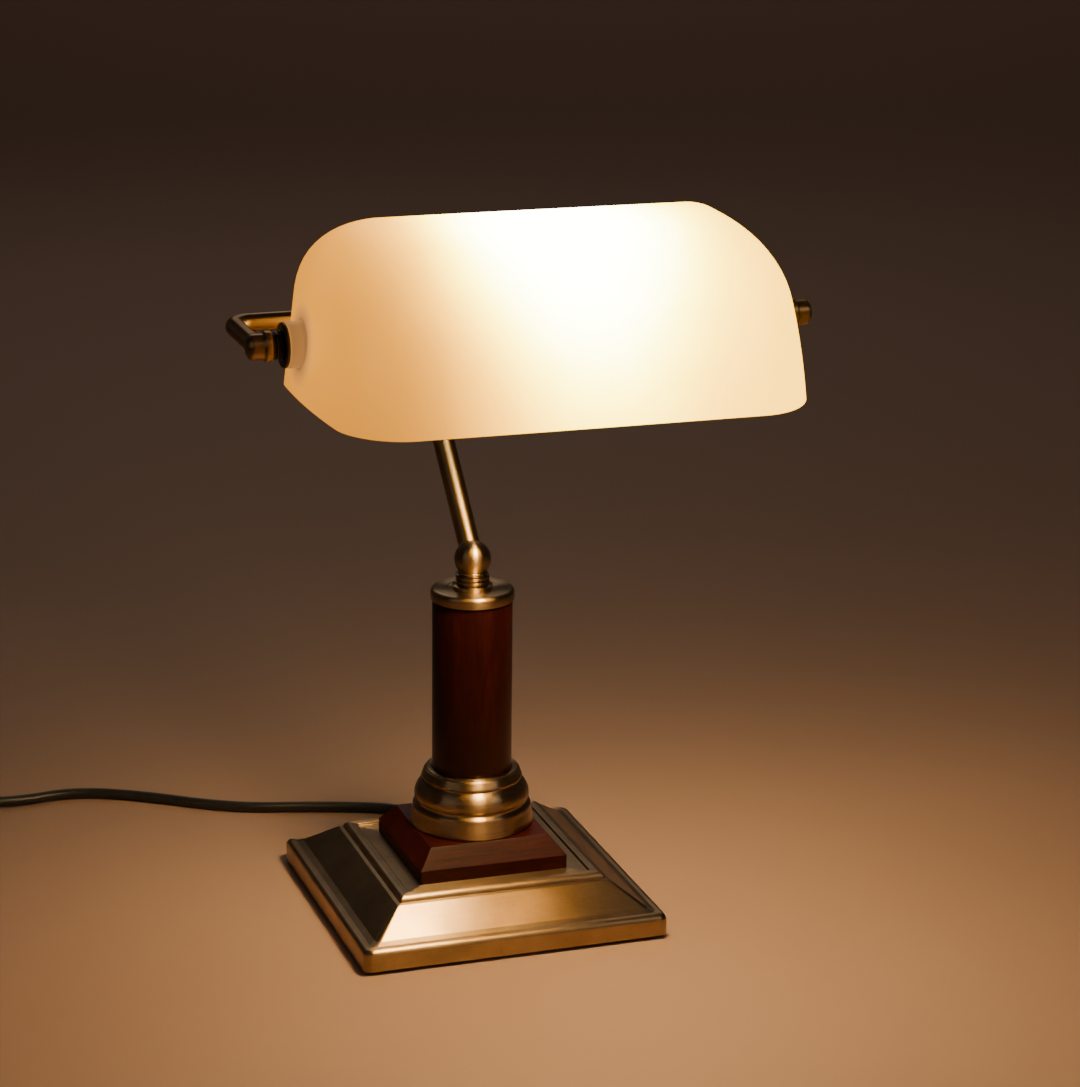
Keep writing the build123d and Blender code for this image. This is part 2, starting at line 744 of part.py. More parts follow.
def bulb_base():
    """Screw shell and contact of the bulb."""
    back = holder_mouth - screw_shell_length
    body = rod_x(screw_shell, back, holder_mouth, bulb_y, bulb_z)
    contact = turned_x([(back, 0), (back, 9.0), (back - contact_length, 4.0), (back - contact_length, 0)],
                       bulb_y, bulb_z)
    return body + contact


def cord_bushing():
    """Tapered rubber sleeve through the rear wall of the foot."""
    inner = half - sheet - relief_inside
    points = [
        (inner, 0), (inner, relief_root + relief_flange),
        (half - 2 * sheet, relief_root + relief_flange), (half - sheet - 0.2, relief_root),
        (half, relief_root), (half + 0.2, relief_root + 0.3), (half + 1.4, relief_root + 0.3),
        (half + 2.2, relief_root), (half + relief_outside, relief_tip), (half + relief_outside, 0),
    ]
    outline = make_face(Polyline(*[(0, y, r) for y, r in points], close=True))
    return Pos(0, 0, cord_exit_z) * revolve(outline, Axis.Y)


def switch_shell(low, high):
    """Slice of the switch's rounded outer form, between two heights."""
    plan = Rectangle(switch_length, switch_width)
    body = Pos(switch_x, switch_y, 0) * extrude(plan, amount=switch_height)
    body = fillet(body.edges().filter_by(Axis.Z), 9.0)
    body = fillet(body.faces().sort_by(Axis.Z)[-1].edges(), 3.0)
    body = chamfer(body.faces().sort_by(Axis.Z)[0].edges(), 0.8)
    return body & Pos(switch_x, switch_y, low) * Box(
        2 * switch_length, 2 * switch_width, high - low, align=(Align.CENTER, Align.CENTER, Align.MIN))


def switch_room(low, high):
    """Hollow of the switch between two heights."""
    room = Pos(switch_x, switch_y, low) * Box(
        switch_length - 2 * switch_wall, switch_width - 2 * switch_wall, high - low,
        align=(Align.CENTER, Align.CENTER, Align.MIN))
    return fillet(room.edges().filter_by(Axis.Z), 9.0 - switch_wall)


def switch_base():
    """Lower half of the switch: a tray with two posts that carry the rocker."""
    body = switch_shell(0, switch_split) - switch_room(switch_wall, switch_split + 1)
    post_y = rocker_width / 2 + rocker_gap + switch_wall / 2
    for side in (-1, 1):
        body += Pos(switch_x, switch_y + side * post_y, 1.0) * Box(
            8.0, switch_wall, rocker_pivot_z + 1.0 + trunnion_radius,
            align=(Align.CENTER, Align.CENTER, Align.MIN))
    pin = Plane(origin=(switch_x, switch_y, rocker_pivot_z), z_dir=(0, 1, 0))
    return body - pin * Cylinder(trunnion_radius + slide_gap, 2 * switch_width)


def switch_cover():
    """Upper half of the switch, with the rocker's window."""
    body = switch_shell(switch_split, switch_height)
    body -= switch_room(switch_split - 1, switch_height - switch_wall)
    window = Pos(switch_x, switch_y, switch_height) * Box(
        rocker_length + 2 * 1.6, rocker_width + 2 * rocker_gap, 4 * switch_wall)
    return body - window


def switch_rocker():
    """Rocker on trunnions, pressed down at one end."""
    length, low, high = rocker_length / 2, rocker_pivot_z - 2.6, switch_height + 1.4
    outline = make_face(Curve() + [
        Polyline((-length, high - 0.4), (-length, rocker_pivot_z - 0.5), (-length / 2, low),
                 (length / 2, low), (length, rocker_pivot_z - 0.5), (length, high - 0.4)),
        ThreePointArc((length, high - 0.4), (0, high - 1.6), (-length, high - 0.4)),
    ])
    body = extrude(Plane.XZ * outline, amount=rocker_width / 2, both=True)
    pin_length = rocker_width + 2 * rocker_gap + 2 * switch_wall
    body += Plane(origin=(0, 0, rocker_pivot_z), z_dir=(0, 1, 0)) * Cylinder(trunnion_radius, pin_length)
    body = body.rotate(Axis((0, 0, rocker_pivot_z), (0, 1, 0)), rocker_angle)
    return Pos(switch_x, switch_y, 0) * body


def cord_lead():
    """Cord from the foot to the switch."""
    return cord_tube(cord_path(lead_route, "cord_lead"), "cord_lead")


def cord_tail():
    """Cord from the switch to the coil."""
    return cord_tube(cord_path(tail_route, "cord_tail"), "cord_tail")


def coil_radii():
    """Radius of each half turn: inwards, one climbing half turn, and outwards again."""
    inwards = [turn_outer - turn_pitch / 2 * number for number in range(turn_steps)]
    return inwards, inwards[-1] - turn_pitch / 2, inwards[:0:-1]


def coil_path():
    """Half circles on a line through the coil, the middle one tilted to climb a layer."""
    inwards, climb, outwards = coil_radii()
    here, downwards = Vector(*coil_start), True
    arcs = []
    for radius in inwards + [climb] + outwards:
        way = 1 if downwards else -1
        rise = turn_pitch if radius == climb else 0.0
        chord = math.sqrt((2 * radius) ** 2 - rise ** 2)
        end = here + Vector(way * chord, 0, rise)
        middle = (here + end) * 0.5 + Vector(0, -way * radius, 0)
        arcs.append(ThreePointArc(here, middle, end))
        here, downwards = end, not downwards
    return Wire(arcs)


def coil_gap(path):
    """Least gap of the coil to itself, measured on points along its centre line."""
    count = int(path.length / 3)
    spots = [path @ (number / count) for number in range(count + 1)]
    step = path.length / count
    apart = int(40 / step)
    pairs = ((a, b) for a in range(len(spots)) for b in range(a + apart, len(spots)))
    least = min((spots[a] - spots[b]).length for a, b in pairs)
    return least - 2 * cord_radius


def cord_coil():
    """The put-away length as one unbroken tube of round turns in two layers."""
    path = coil_path()
    print(f"cord_coil least gap {coil_gap(path):.2f}")
    return cord_tube(path, "cord_coil")


def end_path():
    """From the coil's upper layer, straight, then down to the plug's height in two equal bends."""
    start = coil_path() @ 1
    drop = start.Z - plug_thick / 2
    turn = math.acos(1 - drop / (2 * tail_bend))
    run = tail_bend * math.sin(turn)
    flat = start - Vector(0, tail_flat, 0)
    middle = flat - Vector(0, run, drop / 2)
    last = flat - Vector(0, 2 * run, drop)
    half_turn = turn / 2
    first_mid = flat - Vector(0, tail_bend * math.sin(half_turn), tail_bend * (1 - math.cos(half_turn)))
    second_mid = last + Vector(0, tail_bend * math.sin(half_turn), tail_bend * (1 - math.cos(half_turn)))
    return Wire([
        Line(start, flat), ThreePointArc(flat, first_mid, middle), ThreePointArc(middle, second_mid, last)])


def cord_end():
    """Cord from the coil to the plug."""
    return cord_tube(end_path(), "cord_end")


def plug_body():
    """Flat two-pin plug body with a ribbed, tapered neck."""
    end = end_path() @ 1
    neck = [Pos(0, 0, 0) * Circle(cord_radius + 1.0), Pos(0, 0, plug_neck) * Circle(plug_thick / 2 - 0.6)]
    body = loft(neck)
    for number in range(4):
        z = 4.0 + 4.0 * number
        body -= ring(plug_thick, cord_radius + 0.9 + 0.11 * z, 1.2, z)
    shell = loft([
        Pos(0, 0, plug_neck) * RectangleRounded(plug_thick + 3.0, plug_thick, 5.0),
        Pos(0, 0, plug_neck + plug_length * 0.4) * RectangleRounded(plug_width, plug_thick, 5.0),
        Pos(0, 0, plug_neck + plug_length) * RectangleRounded(plug_width, plug_thick, 5.0),
    ], ruled=True)
    return Plane(origin=end, x_dir=(1, 0, 0), z_dir=(0, -1, 0)) * (body + shell)


def plug_pins():
    """Two round pins."""
    face = (end_path() @ 1) - Vector(0, plug_neck + plug_length, 0)
    pin = Cylinder(pin_radius, pin_length, align=(Align.CENTER, Align.CENTER, Align.MIN))
    pin = fillet(pin.edges().sort_by(Axis.Z)[-1], 1.2)
    pins = []
    for side in (-1, 1):
        place = face + Vector(side * pin_spacing / 2, 0, 0)
        pins.append(Plane(origin=place, x_dir=(1, 0, 0), z_dir=(0, -1, 0)) * pin)
    return Compound(pins)


pieces = {
    "base_pad": base_pad,
    "bottom_plate": bottom_plate,
    "base_screws": base_screws,
    "ballast": ballast,
    "base_shell": base_shell,
    "cord_bushing": cord_bushing,
    "rod_nut": rod_nut,
    "rod_washer": rod_washer,
    "tie_rod": tie_rod,
    "wood_plinth": wood_plinth,
    "collar": collar,
    "wood_column": wood_column,
    "column_cap": column_cap,
    "swivel_neck": swivel_neck,
    "neck_ball": neck_ball,
    "arm_tube": arm_tube,
    "yoke_hub": yoke_hub,
    "yoke_tube": yoke_tube,
    "holder_stem": holder_stem,
    "lampholder_cap": lampholder_cap,
    "lampholder_body": lampholder_body,
    "lampholder_ring": lampholder_ring,
    "bulb_base": bulb_base,
    "bulb_glass": bulb_glass,
    "glass_shade": glass_shade,
    "cord_lead": cord_lead,
    "switch_base": switch_base,
    "switch_cover": switch_cover,
    "switch_rocker": switch_rocker,
    "cord_tail": cord_tail,
    "cord_coil": cord_coil,
    "cord_end": cord_end,
    "plug_body": plug_body,
    "plug_pins": plug_pins,
}
paired = {
    "yoke_socket": yoke_socket,
    "pivot_stud": pivot_stud,
    "grooved_bushing": grooved_bushing,
    "flange_washer": flange_washer,
    "inner_washer": inner_washer,
    "pivot_lock_nut": pivot_lock_nut,
}
for name, make in pieces.items():
    export_step(make(), f"parts/{name}.step")
for name, make in paired.items():
    export_step(make(-1), f"parts/{name}_left.step")
    export_step(make(1), f"parts/{name}_right.step")
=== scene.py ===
"""Looks of the bankers lamp: brass, varnished wood, lit opal glass, black plastic and the mains cord.

Lengths in this script are millimetres unless a name says otherwise. Every piece is built in the frame of the
solids and is brought to metres when it is finished.
"""
import math

import bmesh
import bpy
from mathutils import Matrix, Vector
from mathutils.geometry import interpolate_bezier


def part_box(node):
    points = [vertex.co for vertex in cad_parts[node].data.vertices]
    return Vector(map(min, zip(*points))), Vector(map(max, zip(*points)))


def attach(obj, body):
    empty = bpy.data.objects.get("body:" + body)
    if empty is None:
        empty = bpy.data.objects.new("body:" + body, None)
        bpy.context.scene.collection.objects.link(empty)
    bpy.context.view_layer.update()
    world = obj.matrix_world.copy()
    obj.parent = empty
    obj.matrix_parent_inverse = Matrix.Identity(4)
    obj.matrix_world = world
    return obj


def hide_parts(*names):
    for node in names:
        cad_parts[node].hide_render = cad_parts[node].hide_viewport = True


MM = 0.001
X_AXIS, Y_AXIS, Z_AXIS = Vector((1, 0, 0)), Vector((0, 1, 0)), Vector((0, 0, 1))

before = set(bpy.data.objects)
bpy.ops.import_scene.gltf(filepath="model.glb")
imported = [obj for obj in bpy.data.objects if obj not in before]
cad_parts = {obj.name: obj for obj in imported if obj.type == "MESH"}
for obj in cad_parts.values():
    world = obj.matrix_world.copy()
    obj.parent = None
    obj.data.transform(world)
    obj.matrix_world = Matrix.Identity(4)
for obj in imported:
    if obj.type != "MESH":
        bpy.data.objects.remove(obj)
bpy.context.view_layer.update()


def span(node):
    """Lowest and highest corner of a solid, in millimetres."""
    low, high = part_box(node)
    return low / MM, high / MM


def middle_of(node):
    """Middle of a solid, on the lamp's centre plane."""
    low, high = span(node)
    return Vector((0, (low.y + high.y) / 2, (low.z + high.z) / 2))


def ends(node):
    """Lowest and highest x of a solid."""
    return [corner.x for corner in span(node)]


# Places and sizes taken from the solids
foot_half = span("base_shell")[1].x
foot_low, recess_z = span("base_shell")[0].z, span("wood_plinth")[0].z
plinth_half, plinth_top = span("wood_plinth")[1].x, span("wood_plinth")[1].z
collar_radius, collar_top = span("collar")[1].x, span("collar")[1].z
column_radius, column_top = span("wood_column")[1].x, span("wood_column")[1].z
cap_radius, cap_top = span("column_cap")[1].x, span("column_cap")[1].z
neck_flange, neck_top = span("swivel_neck")[1].x, span("swivel_neck")[1].z
pivot = middle_of("pivot_stud_right")

# The photograph's camera, worked out from the foot's corners, in metres
camera_spot = (-0.4600, -1.4545, 0.6467)
camera_right = (0.9474, -0.3198, 0.0104)
camera_up = (0.0816, 0.2729, 0.9586)
camera_ahead = (0.3094, 0.9073, -0.2847)
photo_focal_px, photo_height_px = 3144, 1087

# The cord's route, as in the solids, in metres
lead_route = [
    (0.0, 0.097, 0.0062), (0.0, 0.1105, 0.0062), (-0.0054, 0.1228, 0.0042), (-0.0155, 0.132, 0.003),
    (-0.044, 0.1425, 0.003), (-0.092, 0.155, 0.003), (-0.139, 0.1905, 0.003), (-0.172, 0.205, 0.003),
    (-0.205, 0.199, 0.0032), (-0.228, 0.1995, 0.0055), (-0.250, 0.1995, 0.0055),
]
tail_route = [
    (-0.312, 0.1995, 0.0055), (-0.330, 0.1995, 0.0055), (-0.3468, 0.1892, 0.0039),
    (-0.3563, 0.1722, 0.003),
]
end_route = [
    (-0.3497, 0.112, 0.0096), (-0.3497, 0.092, 0.0096), (-0.3497, 0.0744, 0.0083),
    (-0.3497, 0.0568, 0.0070),
]
cord_diameter = 0.006


# Building in bmesh

def arc(start, end, centre, steps=6):
    """Points of a profile from start to end about a centre, the shorter way round."""
    start, end, centre = Vector(start), Vector(end), Vector(centre)
    first, last = start - centre, end - centre
    turn = math.atan2(first.cross(last), first.dot(last))
    return [tuple(centre + Matrix.Rotation(turn * step / steps, 2) @ first) for step in range(steps + 1)]


def flow(start, leave, arrive, end, steps=12):
    """Points of a profile along a smooth ogee with the given handles."""
    handles = [Vector((*point, 0)) for point in (start, leave, arrive, end)]
    return [tuple(point.xy) for point in interpolate_bezier(*handles, steps)]


def sharp_edges(bm, angle=25):
    """Edges between faces that meet at more than an angle."""
    limit = math.radians(angle)
    return [e for e in bm.edges if len(e.link_faces) == 2 and e.calc_face_angle(0) > limit]


def soften(bm, edges, width, segments=2):
    """Round edges, as a tumbled or polished part has them."""
    bmesh.ops.bevel(bm, geom=edges, offset=width, offset_type="OFFSET", affect="EDGES", segments=segments,
                    profile=0.5, material=-1, clamp_overlap=True)


def stood(centre, axis):
    """Matrix that carries what is built along Z to an axis and a centre."""
    return Matrix.Translation(centre) @ Z_AXIS.rotation_difference(Vector(axis)).to_matrix().to_4x4()


def turned(profile, centre=(0, 0, 0), axis=Z_AXIS, closed=False, around=96, edge=0.25, into=None):
    """A piece spun about an axis from (radius, station) pairs, with its edges softened."""
    bm = bmesh.new()
    spots = [bm.verts.new((radius, 0, station)) for radius, station in profile]
    edges = [bm.edges.new(pair) for pair in zip(spots, spots[1:])]
    if closed:
        edges.append(bm.edges.new((spots[-1], spots[0])))
    bmesh.ops.spin(bm, geom=spots + edges, cent=(0, 0, 0), axis=(0, 0, 1), angle=2 * math.pi,
                   steps=around, use_merge=True, use_duplicate=False)
    bmesh.ops.remove_doubles(bm, verts=bm.verts, dist=0.001)
    bmesh.ops.recalc_face_normals(bm, faces=bm.faces)
    if edge:
        soften(bm, sharp_edges(bm), edge)
    bmesh.ops.transform(bm, verts=bm.verts, matrix=stood(centre, axis))
    return joined(into, bm)


def joined(target, bm):
    """Adds one bmesh to another, or gives it back when there is no other."""
    if target is None:
        return bm
    loose = bpy.data.meshes.new("loose")
    bm.to_mesh(loose)
    target.from_mesh(loose)
    bpy.data.meshes.remove(loose)
    bm.free()
    return target


def ring_edges(geometry):
    """Edges among what a bmesh operator made."""
    return [item for item in geometry if isinstance(item, bmesh.types.BMEdge)]


def extruded(bm, edges, move):
    """Carries a loop of edges along a straight run, and gives its last ring."""
    made = bmesh.ops.extrude_edge_only(bm, edges=edges)["geom"]
    fresh = {v for v in made if isinstance(v, bmesh.types.BMVert)}
    bmesh.ops.translate(bm, verts=list(fresh), vec=move)
    return [e for e in ring_edges(made) if all(v in fresh for v in e.verts)]


def bent_tube(corners, radius, bend, around=40, bend_steps=14):
    """A bar of round tube: straight runs, joined by bends of one radius, closed at its ends."""
    bm = bmesh.new()
    spots = [Vector(corner) for corner in corners]
    here, heading = spots[0], (spots[1] - spots[0]).normalized()
    bmesh.ops.create_circle(bm, segments=around, radius=radius, matrix=stood(here, heading))
    edges = list(bm.edges)
    for corner, after in zip(spots[1:], spots[2:]):
        onward = (after - corner).normalized()
        angle = heading.angle(onward)
        cut = bend * math.tan(angle / 2)
        edges = extruded(bm, edges, corner - heading * cut - here)
        axis = heading.cross(onward).normalized()
        middle = corner - heading * cut + axis.cross(heading) * bend
        ring = list({v for e in edges for v in e.verts})
        swung = bmesh.ops.spin(bm, geom=ring + edges, cent=middle, axis=axis, angle=angle,
                               steps=bend_steps, use_merge=False, use_duplicate=False)
        edges = ring_edges(swung["geom_last"])
        here, heading = corner + onward * cut, onward
    extruded(bm, edges, spots[-1] - here)
    bmesh.ops.holes_fill(bm, edges=[e for e in bm.edges if e.is_boundary])
    return bm


def rounded(corners, flat=0.3):
    """Profile from (half width, height, rounding) corners: an arc at each, with a short flat either side."""
    points = [corners[0][:2]]
    for before, (x, z, rounding), after in zip(corners, corners[1:], corners[2:]):
        here = Vector((x, z))
        back, onward = (Vector(before[:2]) - here).normalized(), (Vector(after[:2]) - here).normalized()
        if not rounding:
            points.append((x, z))
            continue
        half = back.angle(onward) / 2
        cut = rounding / math.tan(half)
        middle = here + (back + onward).normalized() * rounding / math.sin(half)
        steps = max(2, round((math.pi - 2 * half) / math.radians(15)))
        start, end = here + back * cut, here + onward * cut
        points += [tuple(start + back * flat), *arc(start, end, middle, steps), tuple(end + onward * flat)]
    return points + [corners[-1][:2]]


def offset(profile, distance):
    """A profile moved towards its left-hand side, mitred at its corners."""
    spots = [Vector(point) for point in profile]
    sides = [(b - a).normalized().orthogonal() for a, b in zip(spots, spots[1:])]
    sides = [sides[0], *sides, sides[-1]]
    return [tuple(spot + (a + b) * distance / (1 + a.dot(b))) for spot, a, b in zip(spots, sides, sides[1:])]


def square_ring(half, height, corner, flat=0.4):
    """Points of a square with rounded corners, with a short flat either side of each."""
    points, corner = [], min(corner, half / 2)
    straight = half - corner
    for quarter in range(4):
        turn = Matrix.Rotation(math.pi / 2 * quarter, 2)
        side = [(half, straight - flat), *arc((half, straight), (straight, half), (straight, straight), 5),
                (straight - flat, half)]
        points += [(*(turn @ Vector(point)), height) for point in side]
    return points


def carried(rings, closed=False):
    """A skin over rings of points that have one count, closed into a tube or capped at its ends."""
    bm = bmesh.new()
    bmesh.ops.create_circle(bm, segments=len(rings[0]), radius=1)
    place = bm.verts.layers.int.new("place")
    for number, spot in enumerate(bm.verts):
        spot[place] = number
        spot.co = rings[0][number]
    first = edges = list(bm.edges)
    for ring in rings[1:]:
        edges = extruded(bm, edges, (0, 0, 0))
        for spot in {v for e in edges for v in e.verts}:
            spot.co = ring[spot[place]]
    if closed:
        bmesh.ops.bridge_loops(bm, edges=first + edges)
    else:
        bmesh.ops.holes_fill(bm, edges=first + edges)
    bmesh.ops.recalc_face_normals(bm, faces=bm.faces)
    return bm


def solid_copy(node, flat=0.6):
    """The mesh of a solid, in millimetres, with its points merged and its flat faces whole."""
    bm = bmesh.new()
    bm.from_mesh(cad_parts[node].data)
    bmesh.ops.remove_doubles(bm, verts=bm.verts, dist=1e-6)
    bmesh.ops.dissolve_limit(bm, angle_limit=math.radians(flat), verts=bm.verts, edges=bm.edges)
    bmesh.ops.scale(bm, verts=bm.verts, vec=(1 / MM,) * 3)
    return bm


def piece(name, bm, surface, body, nodes, sharp=40):
    """Finishes a piece: metres, smooth shading, material, its body and the solids that it stands for."""
    bmesh.ops.scale(bm, verts=bm.verts, vec=(MM,) * 3)
    mesh = bpy.data.meshes.new(name)
    bm.to_mesh(mesh)
    bm.free()
    mesh.materials.append(surface)
    mesh.shade_smooth()
    mesh.set_sharp_from_angle(angle=math.radians(sharp))
    made = bpy.data.objects.new(name, mesh)
    bpy.context.scene.collection.objects.link(made)
    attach(made, body)
    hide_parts(*nodes)
    return made


# Materials

def add(tree, kind, inputs=(), **settings):
    """A shader node with its settings, and its inputs linked or set."""
    node = tree.nodes.new("ShaderNode" + kind)
    for name, value in settings.items():
        setattr(node, name, value)
    for socket, value in dict(inputs).items():
        if isinstance(value, bpy.types.NodeSocket):
            tree.links.new(value, node.inputs[socket])
        else:
            node.inputs[socket].default_value = value
    return node


def calc(tree, operation, *values):
    """A sum on numbers."""
    return add(tree, "Math", dict(enumerate(values)), operation=operation).outputs[0]


def vector(tree, operation, *values):
    """A sum on vectors, or a vector's length."""
    outputs = add(tree, "VectorMath", dict(enumerate(values)), operation=operation).outputs
    return outputs["Value" if operation == "LENGTH" else "Vector"]


def along(tree, place, letter):
    """One coordinate of a place."""
    return add(tree, "SeparateXYZ", {0: place}).outputs["XYZ".index(letter)]


def mapped(tree, value, first, last, low=0.0, high=1.0):
    """A number carried from low and high to first and last."""
    return add(tree, "MapRange", {0: value, 1: low, 2: high, 3: first, 4: last}).outputs[0]


def noise(tree, place, scale=1.0, detail=2.0, rough=0.5, distortion=0.0):
    """Cloudy noise between zero and one."""
    inputs = {"Vector": place, "Scale": scale, "Detail": detail, "Roughness": rough, "Distortion": distortion}
    return add(tree, "TexNoise", inputs).outputs["Fac"]


def mixed(tree, share, first, second, mode="MIX"):
    """One colour laid over another by a share."""
    return add(tree, "Mix", {0: share, 6: first, 7: second}, data_type="RGBA", blend_type=mode).outputs[2]


def darkened(tree, first, second, share=1.0):
    """One colour multiplied by another."""
    return mixed(tree, share, first, second, "MULTIPLY")


def relief(tree, height, strength, depth=0.0002):
    """Normals of a surface with a little relief, its depth in metres."""
    return add(tree, "Bump", {"Strength": strength, "Distance": depth, "Height": height}).outputs[0]


def wire(tree, shader, **outputs):
    """Links outputs to the shader's sockets."""
    for socket, output in outputs.items():
        tree.links.new(output, shader.inputs[socket.replace("_", " ")])


def new_surface(name, **values):
    """A material, its tree and its shader, with plain values set on the shader."""
    surface = bpy.data.materials.new(name)
    surface.use_nodes = True
    tree = surface.node_tree
    shader = tree.nodes["Principled BSDF"]
    for socket, value in values.items():
        shader.inputs[socket.replace("_", " ")].default_value = value
    return surface, tree, shader


def place_of(tree, centre_mm=(0, 0, 0), scale=(1, 1, 1)):
    """The piece's own coordinates in millimetres, about a centre, stretched by a scale."""
    centred = vector(tree, "ADD", add(tree, "TexCoord").outputs["Object"], [-c * MM for c in centre_mm])
    return vector(tree, "MULTIPLY", centred, [s / MM for s in scale])


def rings_about(tree, axis, centre_mm, fine, drift=0.02):
    """Coordinates that change with radius and station, and hardly around, for marks left by turning."""
    spot = place_of(tree, centre_mm)
    flat = vector(tree, "MULTIPLY", spot, [0 if letter == axis else 1 for letter in "XYZ"])
    lines = add(tree, "CombineXYZ", {0: vector(tree, "LENGTH", flat), 2: along(tree, spot, axis)}).outputs[0]
    near = vector(tree, "MULTIPLY", flat, (drift,) * 3)
    return vector(tree, "ADD", vector(tree, "MULTIPLY", lines, (fine,) * 3), near)


def by_side(tree, front, flank):
    """One vector on the front and back of a square foot, another on its flanks, mitred at its corners."""
    width, depth = [calc(tree, "ABSOLUTE", along(tree, place_of(tree), letter)) for letter in "XY"]
    on_flank = calc(tree, "GREATER_THAN", width, depth)
    return add(tree, "Mix", {0: on_flank, 4: front, 5: flank}, data_type="VECTOR").outputs[1]


def sides_of(tree, fine, coarse=0.03):
    """Coordinates for marks that run along each side of a square foot."""
    front = vector(tree, "MULTIPLY", place_of(tree), (coarse, fine, fine))
    return by_side(tree, front, vector(tree, "MULTIPLY", place_of(tree), (fine, coarse, fine)))


def around(axis):
    """Direction of the marks left by turning about an axis."""
    return lambda tree: add(tree, "Tangent", direction_type="RADIAL", axis=axis).outputs[0]


def across(direction):
    """One direction for the marks, square to a tube that is bent in one plane."""
    return lambda tree: add(tree, "CombineXYZ", dict(enumerate(direction))).outputs[0]


def ramp(tree, factor, stops):
    """A colour ramp from (position, colour) stops."""
    node = add(tree, "ValToRGB", {0: factor})
    while len(node.color_ramp.elements) < len(stops):
        node.color_ramp.elements.new(1.0)
    for element, (position, colour) in zip(node.color_ramp.elements, stops):
        element.position = position
        element.color = (*colour, 1.0)
    return node.outputs["Color"]


def grey(value):
    """A grey as red, green and blue."""
    return (value,) * 3


def tones(tree, factor, colour, darker, lighter):
    """A colour that wanders between a darker and a lighter share of itself."""
    low, high = [tuple(part * share for part in colour) for share in (darker, lighter)]
    return ramp(tree, factor, [(0.3, low), (0.7, high)])


def brass(name, lines, smooth, brushed, draw, contrast=0.15):
    """Aged brass: marks from lines(tree), dark patina in clouds and small worn spots.

    brushed(tree) gives the direction of brush marks, which draw highlights out across themselves.
    """
    surface, tree, shader = new_surface(name, Metallic=1.0, Anisotropic=draw, Anisotropic_Rotation=0.25)
    marks = noise(tree, lines(tree), 1.0, 4.0, 0.65)
    clouds = noise(tree, place_of(tree), 0.045, 5.0, 0.6)
    specks = noise(tree, place_of(tree), 0.9, 3.0)
    patina = ramp(tree, clouds, [
        (0.30, (0.290, 0.204, 0.112)), (0.55, (0.385, 0.276, 0.155)), (0.75, (0.450, 0.330, 0.190))])
    shade = ramp(tree, marks, [(0.25, grey(1 - contrast)), (0.75, grey(1.05))])
    spots = ramp(tree, specks, [(0.26, grey(0.75)), (0.38, grey(1.0))])
    wire(tree, shader, Base_Color=darkened(tree, darkened(tree, patina, shade), spots),
         Roughness=mapped(tree, marks, smooth, smooth + 0.08, 0.25, 0.75),
         Normal=relief(tree, marks, 0.05, 0.00005), Tangent=brushed(tree))
    return surface


def mahogany(name, grain_scale, red):
    """Red-brown wood under gloss varnish, with its grain stretched along one direction."""
    surface, tree, shader = new_surface(name, Specular_IOR_Level=0.15, Coat_Weight=0.16, Coat_Roughness=0.08,
                                        Coat_IOR=1.4)
    grain = place_of(tree, scale=grain_scale)
    sway, pores = noise(tree, grain, 0.12, 3.0), noise(tree, grain, 3.2)
    streaks = noise(tree, grain, 0.9, 6.0, 0.7, 0.6)
    green, blue = red * 0.11, red * 0.07
    dark, middle, light = [(red * share, green * share, blue * share) for share in (0.35, 1.0, 1.8)]
    tone = ramp(tree, streaks, [(0.28, dark), (0.52, middle), (0.75, light)])
    broad = ramp(tree, sway, [(0.3, grey(0.70)), (0.7, grey(1.20))])
    fine = ramp(tree, pores, [(0.34, grey(0.55)), (0.46, grey(1.0))])
    wire(tree, shader, Base_Color=darkened(tree, darkened(tree, tone, broad), fine, 0.8),
         Roughness=mapped(tree, streaks, 0.30, 0.46), Normal=relief(tree, pores, 0.10, 0.0001))
    return surface


